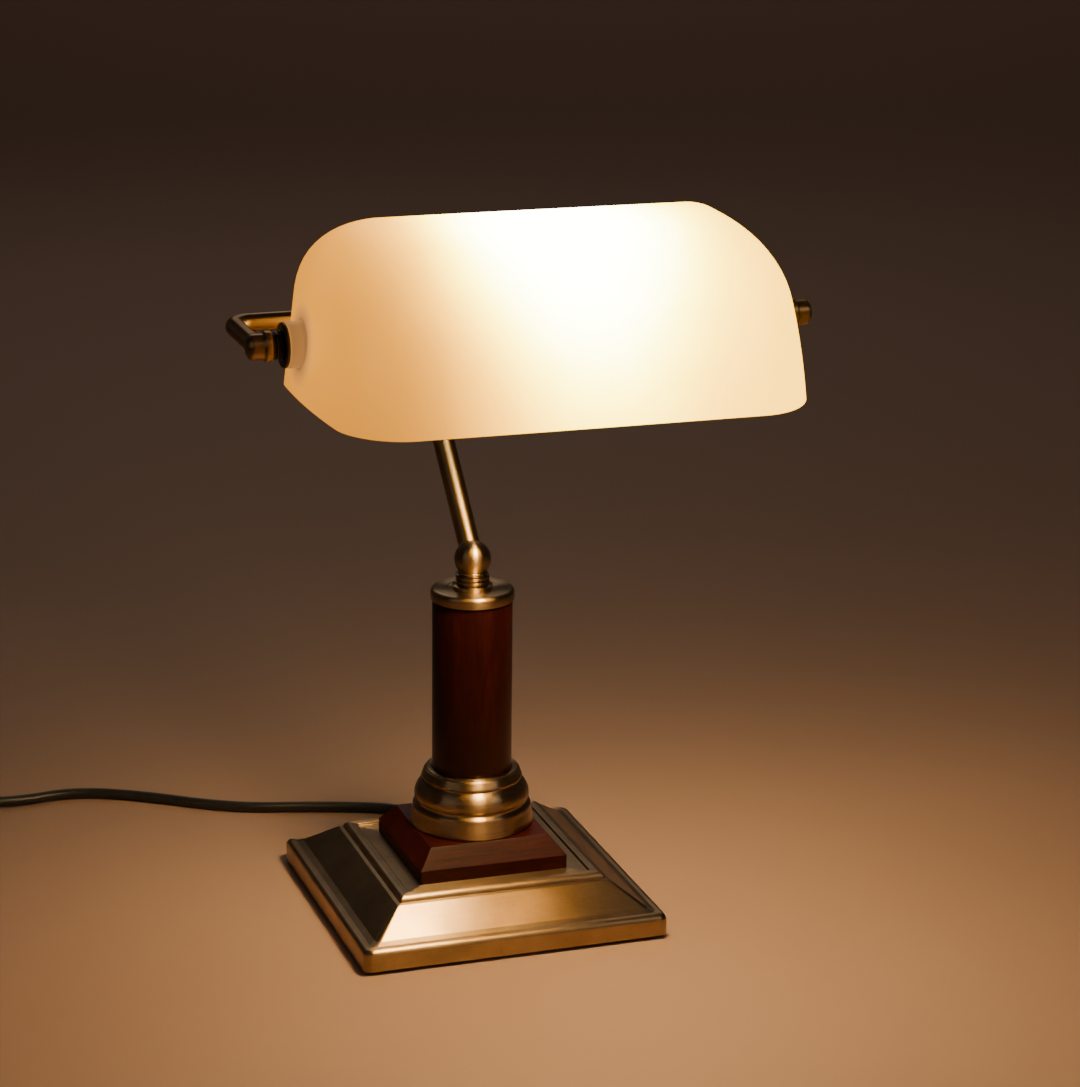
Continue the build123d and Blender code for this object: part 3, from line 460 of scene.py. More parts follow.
def lit_opal(name, strength=1.0):
    """Opal glass lit from inside: white in front of the bulb, amber at the far end, and duller in the bosses,
    with painted shade where each boss meets the wall.
    """
    surface, tree, shader = new_surface(name, Base_Color=(0.20, 0.14, 0.07, 1.0), Roughness=0.35,
                                        Coat_Weight=0.08, Coat_Roughness=0.2)
    hot_spot, stretch, brightest = (2.3, -109.1, 333.8), (0.86, 0.83, 0.77), 19.0
    loss_per_mm, start, haze_mm = -0.0899, 8.08, 3.0
    spill_from, spill_to, dim, bright = -70.0, 80.0, 1.00, 6.41
    haze = mapped(tree, noise(tree, place_of(tree), 0.02), -haze_mm, haze_mm)
    away = calc(tree, "ADD", vector(tree, "LENGTH", place_of(tree, hot_spot, stretch)), haze)
    fading = calc(tree, "EXPONENT", calc(tree, "MULTIPLY_ADD", away, loss_per_mm, start))
    # Painted light and shade from the holder: the glow is painted stronger towards the bulb's tip and weaker
    # towards the holder's end, which the holder shades
    spill = mapped(tree, along(tree, place_of(tree), "X"), dim, bright, spill_from, spill_to)
    spread = calc(tree, "MULTIPLY", calc(tree, "ADD", fading, spill), -1 / brightest)
    share = calc(tree, "SUBTRACT", 1.0, calc(tree, "EXPONENT", spread))
    glow = ramp(tree, share, [
        (0.0, (1.0, 0.345, 0.020)), (0.063, (1.0, 0.36, 0.015)), (0.105, (1.0, 0.38, 0.010)),
        (0.21, (1.0, 0.43, 0.010)), (0.316, (1.0, 0.50, 0.010)), (0.474, (1.0, 0.66, 0.030)),
        (0.632, (1.0, 0.80, 0.10)), (0.895, (1.0, 0.94, 0.50)), (1.0, (1.0, 0.95, 0.75))])
    # Painted shade on the bosses: the glow is dimmed and tinted amber on each boss, most in a ring where the
    # boss meets the end wall, fading out further away
    boss_shade_from, boss_shade_to, boss_shade_radius, boss_shade_tint = 101.0, 106.0, 20.0, (1.0, 0.46, 0.17, 1.0)
    boss = place_of(tree, pivot)
    radius = vector(tree, "LENGTH", vector(tree, "MULTIPLY", boss, (0, 1, 1)))
    at_end = mapped(tree, calc(tree, "ABSOLUTE", along(tree, boss, "X")), 0.0, 1.0, boss_shade_from, boss_shade_to)
    thick_glass_and_crease_shade = ramp(tree, calc(tree, "DIVIDE", radius, boss_shade_radius),
                 [(0.50, grey(0.42)), (0.54, grey(0.75)), (0.63, grey(0.50)), (1.0, grey(0.0))])
    boss_painted_shade = calc(tree, "MULTIPLY", thick_glass_and_crease_shade, at_end)
    power = calc(tree, "MULTIPLY", share, brightest * strength)
    wire(tree, shader, Emission_Color=mixed(tree, boss_painted_shade, glow, boss_shade_tint),
         Emission_Strength=calc(tree, "MULTIPLY", power, calc(tree, "SUBTRACT", 1.0, boss_painted_shade)))
    return surface


def lit_bulb(cap_x=-21.0, tip_x=52.0):
    """Frosted bulb, lit, and dimmer towards its cap."""
    surface, tree, shader = new_surface("lit bulb", Base_Color=(0.95, 0.9, 0.8, 1.0), Roughness=0.4,
                                        Emission_Strength=150.0)
    share = mapped(tree, along(tree, place_of(tree), "X"), 0.0, 1.0, cap_x, tip_x)
    wire(tree, shader, Emission_Color=ramp(tree, share, [
        (0.0, (0.30, 0.12, 0.03)), (0.35, (1.0, 0.64, 0.27)), (1.0, (1.0, 0.67, 0.30))]))
    return surface


def plastic(name, colour, rough, grain=1.2, strength=0.08):
    """Moulded plastic or rubber with a fine spark-eroded grain."""
    surface, tree, shader = new_surface(name)
    fine, broad = noise(tree, place_of(tree), grain, 3.0), noise(tree, place_of(tree), 0.06)
    wire(tree, shader, Base_Color=tones(tree, broad, colour, 0.75, 1.3),
         Roughness=mapped(tree, fine, rough - 0.06, rough + 0.08), Normal=relief(tree, fine, strength))
    return surface


def bare_metal(name, colour, rough, grain, strength=0.1):
    """Steel, iron or nickel with a directional or cast grain."""
    surface, tree, shader = new_surface(name, Metallic=1.0)
    fine = noise(tree, place_of(tree, scale=grain), 1.0, 4.0)
    wire(tree, shader, Base_Color=tones(tree, fine, colour, 0.75, 1.15),
         Roughness=mapped(tree, fine, rough - 0.08, rough + 0.12), Normal=relief(tree, fine, strength))
    return surface


def sleeved_pins(sleeve_end):
    """Nickel pins whose roots are sleeved in black plastic."""
    surface, tree, shader = new_surface("sleeved pins", Roughness=0.25)
    bare = calc(tree, "LESS_THAN", along(tree, place_of(tree), "Y"), sleeve_end)
    scuffs = noise(tree, place_of(tree, scale=(4, 0.3, 4)))
    metal = ramp(tree, scuffs, [(0.3, (0.52, 0.50, 0.45)), (0.7, (0.74, 0.71, 0.65))])
    wire(tree, shader, Base_Color=mixed(tree, bare, (0.014, 0.014, 0.015, 1.0), metal), Metallic=bare)
    return surface


def cord_sheath():
    """Black extruded sheath with a faint sheen."""
    surface, tree, shader = new_surface("black cord", Specular_IOR_Level=0.45)
    fine = noise(tree, place_of(tree), 0.35, 5.0)
    tone = ramp(tree, fine, [(0.3, (0.010, 0.010, 0.011)), (0.7, (0.022, 0.021, 0.021))])
    wire(tree, shader, Base_Color=tone, Roughness=mapped(tree, fine, 0.34, 0.50),
         Normal=relief(tree, fine, 0.06))
    return surface


turning_marks, brush_marks, tube_contrast = 2.6, 2.2, 0.06
foot_brass = brass("brushed brass foot", lambda tree: sides_of(tree, brush_marks), 0.27,
                   lambda tree: by_side(tree, X_AXIS, Y_AXIS), 0.88)
turned_brass = brass("turned brass", lambda tree: rings_about(tree, "Z", (0, 0, 0), turning_marks), 0.26,
                     around("Z"), 0.92)
pivot_brass = brass("turned brass pivots", lambda tree: rings_about(tree, "X", pivot, turning_marks),
                    0.32, around("X"), 0.8)
arm_brass = brass("polished brass arm", lambda tree: place_of(tree, scale=(2.0, 0.05, 0.05)), 0.34,
                  across(X_AXIS), 0.9, tube_contrast)
yoke_brass = brass("polished brass yoke", lambda tree: place_of(tree, scale=(0.05, 0.05, 2.0)), 0.34,
                   across(Z_AXIS), 0.85, tube_contrast)
column_wood = mahogany("varnished column", (1.0, 1.0, 0.07), 0.016)
plinth_wood = mahogany("varnished plinth", (0.07, 1.0, 1.0), 0.034)
opal_glass = lit_opal("lit opal glass")
opal_inside = lit_opal("inside of the opal glass", 0.22)
bulb_light = lit_bulb()
black_plastic = plastic("black plastic", (0.014, 0.014, 0.015), 0.34)
cord_black = cord_sheath()
felt = plastic("black felt", (0.018, 0.018, 0.019), 0.9, grain=2.5, strength=0.6)
zinc_steel = bare_metal("zinc plated steel", (0.50, 0.50, 0.52), 0.36, grain=(0.6, 0.6, 0.6))
cast_iron = bare_metal("cast iron", (0.10, 0.10, 0.105), 0.62, grain=(0.8, 0.8, 0.8), strength=0.5)
spun_alloy = bare_metal("spun alloy cap", (0.70, 0.70, 0.71), 0.28, grain=(2.5, 0.1, 0.1))
fibre = plastic("black fibre", (0.020, 0.018, 0.017), 0.75, grain=1.8, strength=0.3)


# Foot and column

rim_round, rim_rise, cove_rise, cove_start = 3.0, 11.0, 1.3, 0.6
slope_inset, slope_run, slope_rise, ledge_rise = 7.9, 15.7, 11.2, 0.4
bead_ledge, bead_round, top_ledge, recess_draft, well_half = 1.9, 3.0, 3.2, 0.1, 6.0
crease, cove_round, recess_round = 0.6, 0.8, 0.5
foot_sheet, rim_corner, top_corner = 1.1, 4.1, 0.9
plinth_side, plinth_flat, plinth_middle, plinth_eased, plinth_corner = 7.0, 31.5, 20.0, 0.5, 0.6


def foot_piece():
    """Stamped foot: rounded rim, cove, slope, bead and recess, of sheet metal."""
    rim_top, slope_start = foot_low + rim_rise, foot_half - slope_inset
    slope_low, step = rim_top + cove_rise, slope_start - slope_run
    ledge, bead = slope_low + slope_rise + ledge_rise, step - bead_ledge
    bead_top, recess = ledge + bead_round, bead - bead_round - top_ledge
    corners = [(foot_half, foot_low, 0), (foot_half, rim_top, rim_round),
               (foot_half - slope_inset * cove_start, rim_top, crease), (slope_start, slope_low, cove_round),
               (step, slope_low + slope_rise, crease), (bead, ledge, 0), (bead, bead_top, bead_round - 0.01),
               (recess, bead_top, recess_round), (recess - recess_draft, recess_z, recess_round),
               (well_half, recess_z, 0)]
    profile = rounded(corners) + offset([corner[:2] for corner in corners], foot_sheet)[::-1]
    widening = (rim_corner - top_corner) / (foot_half - step)
    rings = [square_ring(half, z, top_corner + max(half - step, 0) * widening) for half, z in profile]
    return piece("brass_foot", carried(rings, closed=True), foot_brass, "base", ["base_shell"])


def plinth_piece():
    """Wooden block with straight sides and broad chamfers, its edges eased."""
    profile = rounded([(plinth_half, recess_z, 0), (plinth_half, recess_z + plinth_side, plinth_eased),
                       (plinth_flat, plinth_top, plinth_eased), (plinth_middle, plinth_top, 0)])
    bm = carried([square_ring(half, height, plinth_corner) for half, height in profile])
    return piece("plinth", bm, plinth_wood, "base", ["wood_plinth"])


def collar_piece():
    """Spun collar: flared drum with a ridge, groove, quarter round, flared ring and lip."""
    r, z, lip, bore = collar_radius, plinth_top, column_radius + 3.0, column_radius + 0.3
    drum_top, ridge_top, groove_low, groove_top, bowl_low = 8.4, 11.4, 12.1, 13.2, 13.8
    bowl_top, ring_low, ring_top, lip_top = 23.5, 24.7, 26.2, 29.6
    rising = [(r - 0.6, 0), (r, 0.8)]
    rising += flow((r, 0.8), (r, 3.4), (r - 0.45, 5.9), (r - 1.0, drum_top), 6)[1:]
    rising += flow((r - 1.0, drum_top), (r - 0.8, 9.9), (r - 1.3, 11.0), (r - 2.4, ridge_top), 8)[1:]
    rising += [(r - 3.0, groove_low), (r - 3.0, groove_top)]
    rising += flow((r - 2.5, bowl_low), (r - 1.2, 17.0), (lip + 4.9, 21.5), (lip + 2.1, bowl_top), 16)
    rising += [(lip + 1.7, 24.1), (lip + 2.3, ring_low)]
    rising += flow((lip + 2.3, ring_low), (lip + 2.7, 25.3), (lip + 2.5, 25.8), (lip + 2.2, ring_top), 4)[1:]
    rising += [(lip + 1.3, 28.6), (lip + 0.8, 29.3), (lip, lip_top)]
    drum, bowl = r - 2.6, r - 4.7
    inside = [(bore, 25.5), (lip + 0.2, 22.0), (bowl, 14.0), (bowl, 10.5), (drum, 8.0), (drum, 0)]
    top = [(lip, collar_top - z), (bore, collar_top - z)]
    profile = [(radius, z + up) for radius, up in rising + top + inside]
    bm = turned(profile, closed=True, around=128, edge=0.12)
    return piece("collar_ring", bm, turned_brass, "base", ["collar"], sharp=50)


def column_pieces():
    """Wooden column, brass cap with a shallow seat, and ringed neck."""
    wood = [(0, plinth_top), (column_radius, plinth_top), (column_radius, column_top), (0, column_top)]
    piece("column", turned(wood, around=128, edge=0.4), column_wood, "base", ["wood_column"])
    cap_round, seat_radius, seat_z = 2.2, neck_flange + 2.8, cap_top - 0.35
    cap = [(0, column_top), (cap_radius, column_top)]
    cap += arc((cap_radius, cap_top - cap_round), (cap_radius - cap_round, cap_top),
               (cap_radius - cap_round, cap_top - cap_round))
    cap += [(seat_radius + 0.4, cap_top), (seat_radius, seat_z), (0, seat_z)]
    piece("cap_disc", turned(cap, around=128), turned_brass, "base", ["column_cap"], sharp=50)
    ring_radius, waist, ring_round, flange_rise, ring_rise = 8.65, 7.35, 2.4, 1.9, 2.05
    neck = [(0, seat_z), (neck_flange, seat_z), (neck_flange, seat_z + flange_rise)]
    for low in (2.3, 4.7, 6.9):
        neck += [(waist, seat_z + low), (waist, seat_z + low + 0.35)]
        first, last = low + 0.9, min(low + ring_rise, neck_top - seat_z)
        neck += arc((ring_radius, seat_z + first), (ring_radius, seat_z + last),
                    (ring_radius - ring_round, seat_z + (first + last) / 2), 4)
    neck += [(0, neck_top)]
    piece("ringed_neck", turned(neck, edge=0.12), turned_brass, "base", ["swivel_neck"])


def relief_piece():
    """Tapered rubber sleeve on the cord, with a flange at the foot and flexing grooves."""
    low, high = span("cord_bushing")
    inner, tip, exit_z, wall = low.y, high.y, (low.z + high.z) / 2, foot_half
    root, waist, tip_radius, taper, depth = 4.2, 3.8, 3.2, 0.4, 0.55
    profile = [(0, inner), (root, inner), (root, wall - 2.4), (waist, wall - 1.4), (waist, wall),
               (waist + 0.3, wall + 0.2), (waist + 0.3, wall + 1.4), (waist, wall + 2.2)]
    grooves, start = 5, wall + 3.6
    pitch = (tip - 2.0 - start) / grooves
    for number in range(grooves):
        y = start + pitch * number
        radius, groove_end = waist - taper * (y - wall) / (tip - wall), y + pitch * 0.38
        profile += [(radius, y), (radius - depth, y + 0.3), (radius - depth - 0.05, groove_end),
                    (radius - 0.05, groove_end + 0.3)]
    profile += [(tip_radius + 0.22, tip - 0.6), (tip_radius, tip), (0, tip)]
    bm = turned(profile, centre=(0, 0, exit_z), axis=Y_AXIS, around=48, edge=0.08)
    return piece("strain_relief", bm, black_plastic, "base", ["cord_bushing"])


foot_piece()
plinth_piece()
collar_piece()
column_pieces()
relief_piece()


# Arm, yoke and pivots

arm_radius, yoke_radius, stem_radius = 5.6, 4.5, 4.0
arm_lean, arm_bend, yoke_bend, leg_past_pivot = math.radians(44.0), 46.0, 9.0, 3.5
ball_radius, ball_rise, spigot_radius, spigot_length, knuckle_radius = 9.4, 7.5, 4.0, 4.4, 7.65
hub_radius, nut_width, stud_radius, thread_depth, thread_pitch = 9.5, 14.0, 5.0, 0.45, 0.8
socket_radius, socket_neck, socket_end, arm_in_ball, arm_past_hub = 7.3, 6.2, 2.0, 3.0, 5.7
bushing_steps = ((7.1, 0), (7.1, 1), (6.0, 1.5), (6.0, 2), (6.5, 2.5), (6.5, 3.2), (5.7, 3.6), (5.7, 4),
                 (6.5, 4.4), (6.5, 5))

hub = middle_of("yoke_hub")
hub.y = span("yoke_tube")[1].y - yoke_radius
leg_x = span("yoke_tube")[1].x - yoke_radius
boss_face = span("glass_shade")[1].x
flange_face = span("flange_washer_right")[1].x
socket_face, socket_back = ends("yoke_socket_right")
ball = Vector((0, 0, neck_top + ball_rise))


def ball_profile(radius, foot_z, foot_radius, steps=40):
    """Half circle about the origin, cut by a flat foot."""
    start = math.asin(foot_z / radius)
    angles = [start + (math.pi / 2 - start) * step / steps for step in range(steps + 1)]
    return [(foot_radius, foot_z)] + [(radius * math.cos(a), radius * math.sin(a)) for a in angles]


def arm_pieces():
    """Ball on its spigot, bent arm, and the ball where arm, cross bar and stem meet."""
    low = neck_top - ball.z + 0.15
    profile = [(0, low - spigot_length), (spigot_radius, low - spigot_length), (spigot_radius, low),
               (knuckle_radius, low), (knuckle_radius, low + 0.9)]
    profile += ball_profile(ball_radius, low + 1.2, 0)[1:]
    knuckle = turned(profile, centre=ball, edge=0.1)
    piece("neck_knuckle", knuckle, turned_brass, "head", ["neck_ball"])
    uphill = Vector((0, math.cos(arm_lean), math.sin(arm_lean)))
    corner = (0, (hub.z - ball.z) / math.tan(arm_lean), hub.z)
    end = (0, hub.y + arm_past_hub, hub.z)
    arm = bent_tube([ball + uphill * arm_in_ball, corner, end], arm_radius, arm_bend, 56, 40)
    piece("bent_arm", arm, arm_brass, "head", ["arm_tube"])
    joint = turned([(0, -hub_radius)] + ball_profile(hub_radius, -hub_radius + 0.1, 0.5), centre=hub, edge=0)
    piece("hub_ball", joint, yoke_brass, "head", ["yoke_hub"])


def yoke_pieces():
    """U of tube, with a turned socket, a grooved bushing, a stud and a lock nut at each end."""
    inner = pivot.y + leg_past_pivot
    bm = bent_tube([(-leg_x, inner, pivot.z), (-leg_x, hub.y, pivot.z), (leg_x, hub.y, pivot.z),
                    (leg_x, inner, pivot.z)], yoke_radius, yoke_bend, 48, 18)
    piece("yoke_bar", bm, yoke_brass, "head", ["yoke_tube"])
    nut_inner, nut_outer = ends("pivot_lock_nut_right")
    stud_inner, stud_outer = span("pivot_stud_right")[0].x, socket_face + 0.5
    for side, word in ((-1, "left"), (1, "right")):
        axis = X_AXIS * side
        rim = [(0, socket_face), (socket_radius - 0.6, socket_face), (socket_radius, socket_face + 0.6),
               (socket_radius, socket_face + 3.2), (socket_neck, socket_face + 4.0)]
        rim += flow((socket_neck, socket_back - 3.4), (socket_neck, socket_back - 1.4),
                    (4.6, socket_back - 0.2), (socket_end, socket_back), 8)
        socket = turned(rim + [(0, socket_back)], centre=pivot, axis=axis, around=72, edge=0.2)
        piece(f"leg_socket_{word}", socket, pivot_brass, "head", [f"yoke_socket_{word}"])
        low = flange_face + 0.15
        step = (socket_face - low) / 5
        grooves = [(stud_radius, low)] + [(radius, low + share * step) for radius, share in bushing_steps]
        bushing = turned(grooves + [(stud_radius, socket_face)], centre=pivot, axis=axis, closed=True,
                         around=72, edge=0.12)
        piece(f"bushing_{word}", bushing, black_plastic, "head", [f"grooved_bushing_{word}"])
        thread, station = [(0, stud_inner), (stud_radius - 0.5, stud_inner)], stud_inner + 0.3
        while station < nut_outer + 1.0:
            thread += [(stud_radius - thread_depth, station), (stud_radius, station + 0.35),
                       (stud_radius, station + 0.45)]
            station += thread_pitch
        thread += [(stud_radius, station), (stud_radius, stud_outer), (0, stud_outer)]
        stud = turned(thread, centre=pivot, axis=axis, around=48, edge=0)
        piece(f"threaded_stud_{word}", stud, pivot_brass, "head", [f"pivot_stud_{word}"])
        nut = hexagon(nut_width, nut_inner, nut_outer, axis)
        piece(f"lock_nut_{word}", nut, pivot_brass, "head", [f"pivot_lock_nut_{word}"])


def hexagon(width, low, high, axis):
    """Hexagon nut on the pivots' axis with turned chamfers at its corners."""
    bm = bmesh.new()
    bmesh.ops.create_circle(bm, segments=6, radius=width / math.sqrt(3), cap_ends=True,
                            matrix=Matrix.Translation((0, 0, low)))
    top = bmesh.ops.extrude_face_region(bm, geom=list(bm.faces))["geom"]
    bmesh.ops.translate(bm, verts=[v for v in top if isinstance(v, bmesh.types.BMVert)],
                        vec=(0, 0, high - low))
    bmesh.ops.recalc_face_normals(bm, faces=bm.faces)
    flats = [e for e in bm.edges if abs(e.verts[0].co.z - e.verts[1].co.z) < 0.01]
    soften(bm, flats, 0.5, 2)
    bmesh.ops.transform(bm, verts=bm.verts, matrix=stood(pivot, axis))
    return bm


arm_pieces()
yoke_pieces()


# Lampholder and bulb

holder_centre = middle_of("bulb_glass")
on_holder = dict(centre=holder_centre, axis=X_AXIS)
holder_back, cap_front = ends("lampholder_cap")
holder_mouth = span("lampholder_body")[1].x
# The stem's low run lies higher than in its solid, so that the glass hides it
stem_raise, stem_bend, holder_radius, skirt_bore = 2.5, 12.0, 19.5, 13.5
stem_low = span("holder_stem")[0].z + stem_radius + stem_raise
stem_side = span("holder_stem")[0].x + stem_radius
grip_radius, grip_bore, grip_pulls = 22.2, 19.2, (1.0, 0.985, 0.95, 0.985)
bulb_radius, bulb_neck, shell_root, shell_crest, shell_pitch = 30.0, 13.5, 12.2, 13.3, 3.6


def lampholder_pieces():
    """Stem, cap, skirt and grip ring of the lampholder."""
    y, z = holder_centre.yz
    stem = bent_tube([(0, hub.y, hub.z - yoke_radius - 0.6), (0, hub.y, stem_low),
                      (stem_side, y, stem_low), (stem_side, y, z), (holder_back + 5.0, y, z)],
                     stem_radius, stem_bend, 40, 16)
    piece("stem", stem, arm_brass, "head", ["holder_stem"])
    r = holder_radius
    cap = [(0, holder_back), (8.0, holder_back), (8.8, holder_back + 4.0)]
    cap += flow((8.8, holder_back + 4.0), (12.0, holder_back + 5.0), (r - 0.5, holder_back + 7.0),
                (r, cap_front), 14)[1:]
    cap += [(r - 1.2, cap_front), (0, cap_front)]
    piece("holder_cap", turned(cap, **on_holder), black_plastic, "head", ["lampholder_cap"])
    skirt = [(0, cap_front), (r - 0.4, cap_front), (r - 0.4, holder_mouth), (r - 2.0, holder_mouth),
             (skirt_bore, holder_mouth - 2.0), (skirt_bore, cap_front + 2.0), (0, cap_front + 2.0)]
    piece("holder_skirt", turned(skirt, edge=0.3, **on_holder), black_plastic, "head",
          ["lampholder_body"])
    piece("holder_ring", grip_ring(), black_plastic, "head", ["lampholder_ring"])


def grip_ring(notches=24):
    """Ring with rounded grips: every other column of its rim is pulled in."""
    low, high = ends("lampholder_ring")
    bm = bmesh.new()
    around = notches * len(grip_pulls)
    bmesh.ops.create_circle(bm, segments=around, radius=grip_radius)
    for number, spot in enumerate(sorted(bm.verts, key=lambda v: math.atan2(v.co.y, v.co.x))):
        spot.co *= grip_pulls[number % len(grip_pulls)]
    outer = list(bm.edges)
    far = extruded(bm, outer, (0, 0, high - low))
    inner_low = bmesh.ops.create_circle(bm, segments=around, radius=grip_bore)["verts"]
    inner = list({e for v in inner_low for e in v.link_edges})
    inner_far = extruded(bm, inner, (0, 0, high - low))
    bmesh.ops.bridge_loops(bm, edges=outer + inner)
    bmesh.ops.bridge_loops(bm, edges=far + inner_far)
    bmesh.ops.recalc_face_normals(bm, faces=bm.faces)
    bmesh.ops.transform(bm, verts=bm.verts, matrix=stood(holder_centre + X_AXIS * low, X_AXIS))
    return bm


def bulb_pieces(steps=36):
    """Frosted globe with its tangent neck, and the screw shell in the holder."""
    middle = span("bulb_glass")[1].x - bulb_radius
    reach = Vector((holder_mouth - middle, bulb_neck))
    open_angle = math.atan2(reach.y, reach.x) - math.acos(bulb_radius / reach.length)
    angles = [open_angle * step / steps for step in range(steps + 1)]
    globe = [(bulb_radius * math.sin(angle), middle + bulb_radius * math.cos(angle)) for angle in angles]
    profile = globe + [(bulb_neck, holder_mouth), (bulb_neck - 0.6, holder_mouth - 1.0),
                       (0, holder_mouth - 1.0)]
    piece("bulb", turned(profile, edge=0, **on_holder), bulb_light, "head", ["bulb_glass"])
    low = span("bulb_base")[0].x
    shell, station = [(0, low), (4.0, low), (9.0, low + 2.0), (12.0, low + 2.6)], low + 4.0
    while station + shell_pitch < holder_mouth:
        shell += flow((shell_root, station), (shell_crest, station + 0.5), (shell_crest, station + 2.4),
                      (shell_root, station + 3.0), 4)
        station += shell_pitch
    shell += [(shell_crest - 0.2, holder_mouth - 0.6), (0, holder_mouth - 0.6)]
    piece("bulb_cap", turned(shell, edge=0, **on_holder), spun_alloy, "head", ["bulb_base"])


lampholder_pieces()
bulb_pieces()


# Glass shade

glass_half, glass_depth, glass_height, glass_wall = 115.5, 110.0, 81.0, 3.5
pivot_inset, rim_polish = 25.0, 1.2
mouth_z, rear_y = pivot.z - pivot_inset, pivot.y + pivot_inset
crown_y = rear_y - (glass_depth - glass_height)
end_lean, end_round, back_round = math.radians(6.5), 40.0, 24.0
front_corner, rear_corner, corner_room = 28.0, 4.5, 0.96
bow_radius, bow_height, bow_y = 500.0, 0.6, pivot.y + 3.0
glass_nod = math.radians(1.5)
hole_radius, boss_radius, boss_round, boss_foot = 5.05, 10.7, 1.0, 13.0
flange_radius, flange_round, fibre_radius = 10.6, 0.8, 9.5


def shade_outline(height):
    """Plan outline of the glass at a height above its mouth, as points with a fixed count."""
    round_start = glass_height - end_round * (1 - math.sin(end_lean))
    if height <= round_start:
        end = glass_half - height * math.tan(end_lean)
    else:
        flat = glass_half - round_start * math.tan(end_lean) - end_round * math.cos(end_lean)
        end = flat + math.sqrt(max(end_round ** 2 - (height - glass_height + end_round) ** 2, 0))
    front = crown_y - math.sqrt(max(glass_height ** 2 - height ** 2, 0))
    up = max(height - (glass_height - back_round), 0.0)
    back = rear_y - back_round + math.sqrt(max(back_round ** 2 - up ** 2, 0))
    shrink = min(1.0, corner_room * (back - front) / (front_corner + rear_corner))
    near, far = front_corner * shrink, rear_corner * shrink
    right = run((0, front), (end - near, front), 12)
    right += arc((end - near, front), (end, front + near), (end - near, front + near), 14)[:-1]
    right += run((end, front + near), (end, back - far), 8)
    right += arc((end, back - far), (end - far, back), (end - far, back - far), 10)[:-1]
    right += run((end - far, back), (0, back), 12) + [(0, back)]
    bowed = [1 + (bow_height - (y - bow_y) ** 2 / (2 * bow_radius)) / end for _, y in right]
    right = [(x * share, y) for (x, y), share in zip(right, bowed)]
    return right + [(-x, y) for x, y in reversed(right[1:-1])]


def run(start, end, steps):
    """Evenly spaced points from start, without the end."""
    start, end = Vector(start), Vector(end)
    return [tuple(start.lerp(end, step / steps)) for step in range(steps)]


def shade_piece():
    """Opal glass: rings of its plan outline carried upwards, a wall, a polished rim and two bosses."""
    angles = list(range(0, 73, 4)) + [75, 78, 81, 83, 84.5, 85.5]
    heights = [glass_height * math.sin(math.radians(angle)) for angle in angles]
    bm = carried([[(x, y, mouth_z + height) for x, y in shade_outline(height)] for height in heights])
    bmesh.ops.delete(bm, geom=[f for f in bm.faces if all(v.co.z < mouth_z + 0.1 for v in f.verts)],
                     context="FACES_ONLY")
    outside = set(bm.faces)
    bmesh.ops.solidify(bm, geom=bm.faces, thickness=glass_wall)
    for face in set(bm.faces) - outside:
        face.material_index = 1
    bmesh.ops.recalc_face_normals(bm, faces=bm.faces)
    rim = [e for e in sharp_edges(bm, 60) if all(v.co.z < mouth_z + 2 for v in e.verts)]
    soften(bm, rim, rim_polish, 4)
    wall = span("inner_washer_right")[1].x
    for side in (-1, 1):
        shoulder = boss_radius - boss_round
        boss = [(hole_radius, wall), (hole_radius, boss_face - 0.6), (5.5, boss_face), (shoulder, boss_face)]
        boss += arc((shoulder, boss_face), (boss_radius, boss_face - boss_round),
                    (shoulder, boss_face - boss_round), 4)[1:]
        boss += flow((boss_radius, boss_face - 5.6), (boss_radius, boss_face - 7.6),
                     (boss_radius + 0.6, boss_face - 8.6), (boss_foot, boss_face - 9.4), 6)
        boss += [(boss_foot, wall + 1.2), (boss_radius, wall)]
        turned(boss, centre=pivot, axis=X_AXIS * side, closed=True, edge=0, into=bm)
    bmesh.ops.rotate(bm, verts=bm.verts, cent=pivot, matrix=Matrix.Rotation(glass_nod, 3, "X"))
    made = piece("opal_shade", bm, opal_glass, "shade", ["glass_shade"], sharp=60)
    made.data.materials.append(opal_inside)
    return made


def washer_pieces():
    """Black flange outside the glass and fibre washer inside it, at each pivot."""
    shoulder = flange_radius - flange_round
    low_round, high_round = boss_face + flange_round, flange_face - flange_round
    flange = [(hole_radius, boss_face), (shoulder, boss_face)]
    flange += arc((shoulder, boss_face), (flange_radius, low_round), (shoulder, low_round), 4)[1:]
    flange += arc((flange_radius, high_round), (shoulder, flange_face), (shoulder, high_round), 4)
    flange += [(hole_radius, flange_face)]
    low, high = ends("inner_washer_right")
    inside = [(hole_radius, low), (fibre_radius, low), (fibre_radius, high), (hole_radius, high)]
    for side, word in ((-1, "left"), (1, "right")):
        turning = dict(centre=pivot, axis=X_AXIS * side, closed=True, around=72)
        piece(f"flange_{word}", turned(flange, edge=0, **turning), black_plastic, "shade",
              [f"flange_washer_{word}"])
        piece(f"fibre_washer_{word}", turned(inside, edge=0.15, **turning), fibre, "shade",
              [f"inner_washer_{word}"])


shade_piece()
washer_pieces()


# Cord, switch and plug

def cord_curve(name, points):
    """A smooth round cord along control points given in metres."""
    data = bpy.data.curves.new(name, "CURVE")
    data.dimensions = "3D"
    data.resolution_u = 12
    data.bevel_depth = cord_diameter / 2
    data.bevel_resolution = 6
    data.use_fill_caps = True
    line = data.splines.new("NURBS")
    line.points.add(len(points) - 1)
    for spot, point in zip(line.points, points):
        spot.co = (*point, 1.0)
    line.order_u = 3
    line.use_endpoint_u = True
    data.materials.append(cord_black)
    made = bpy.data.objects.new(name, data)
    bpy.context.scene.collection.objects.link(made)
    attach(made, "base")
    return made


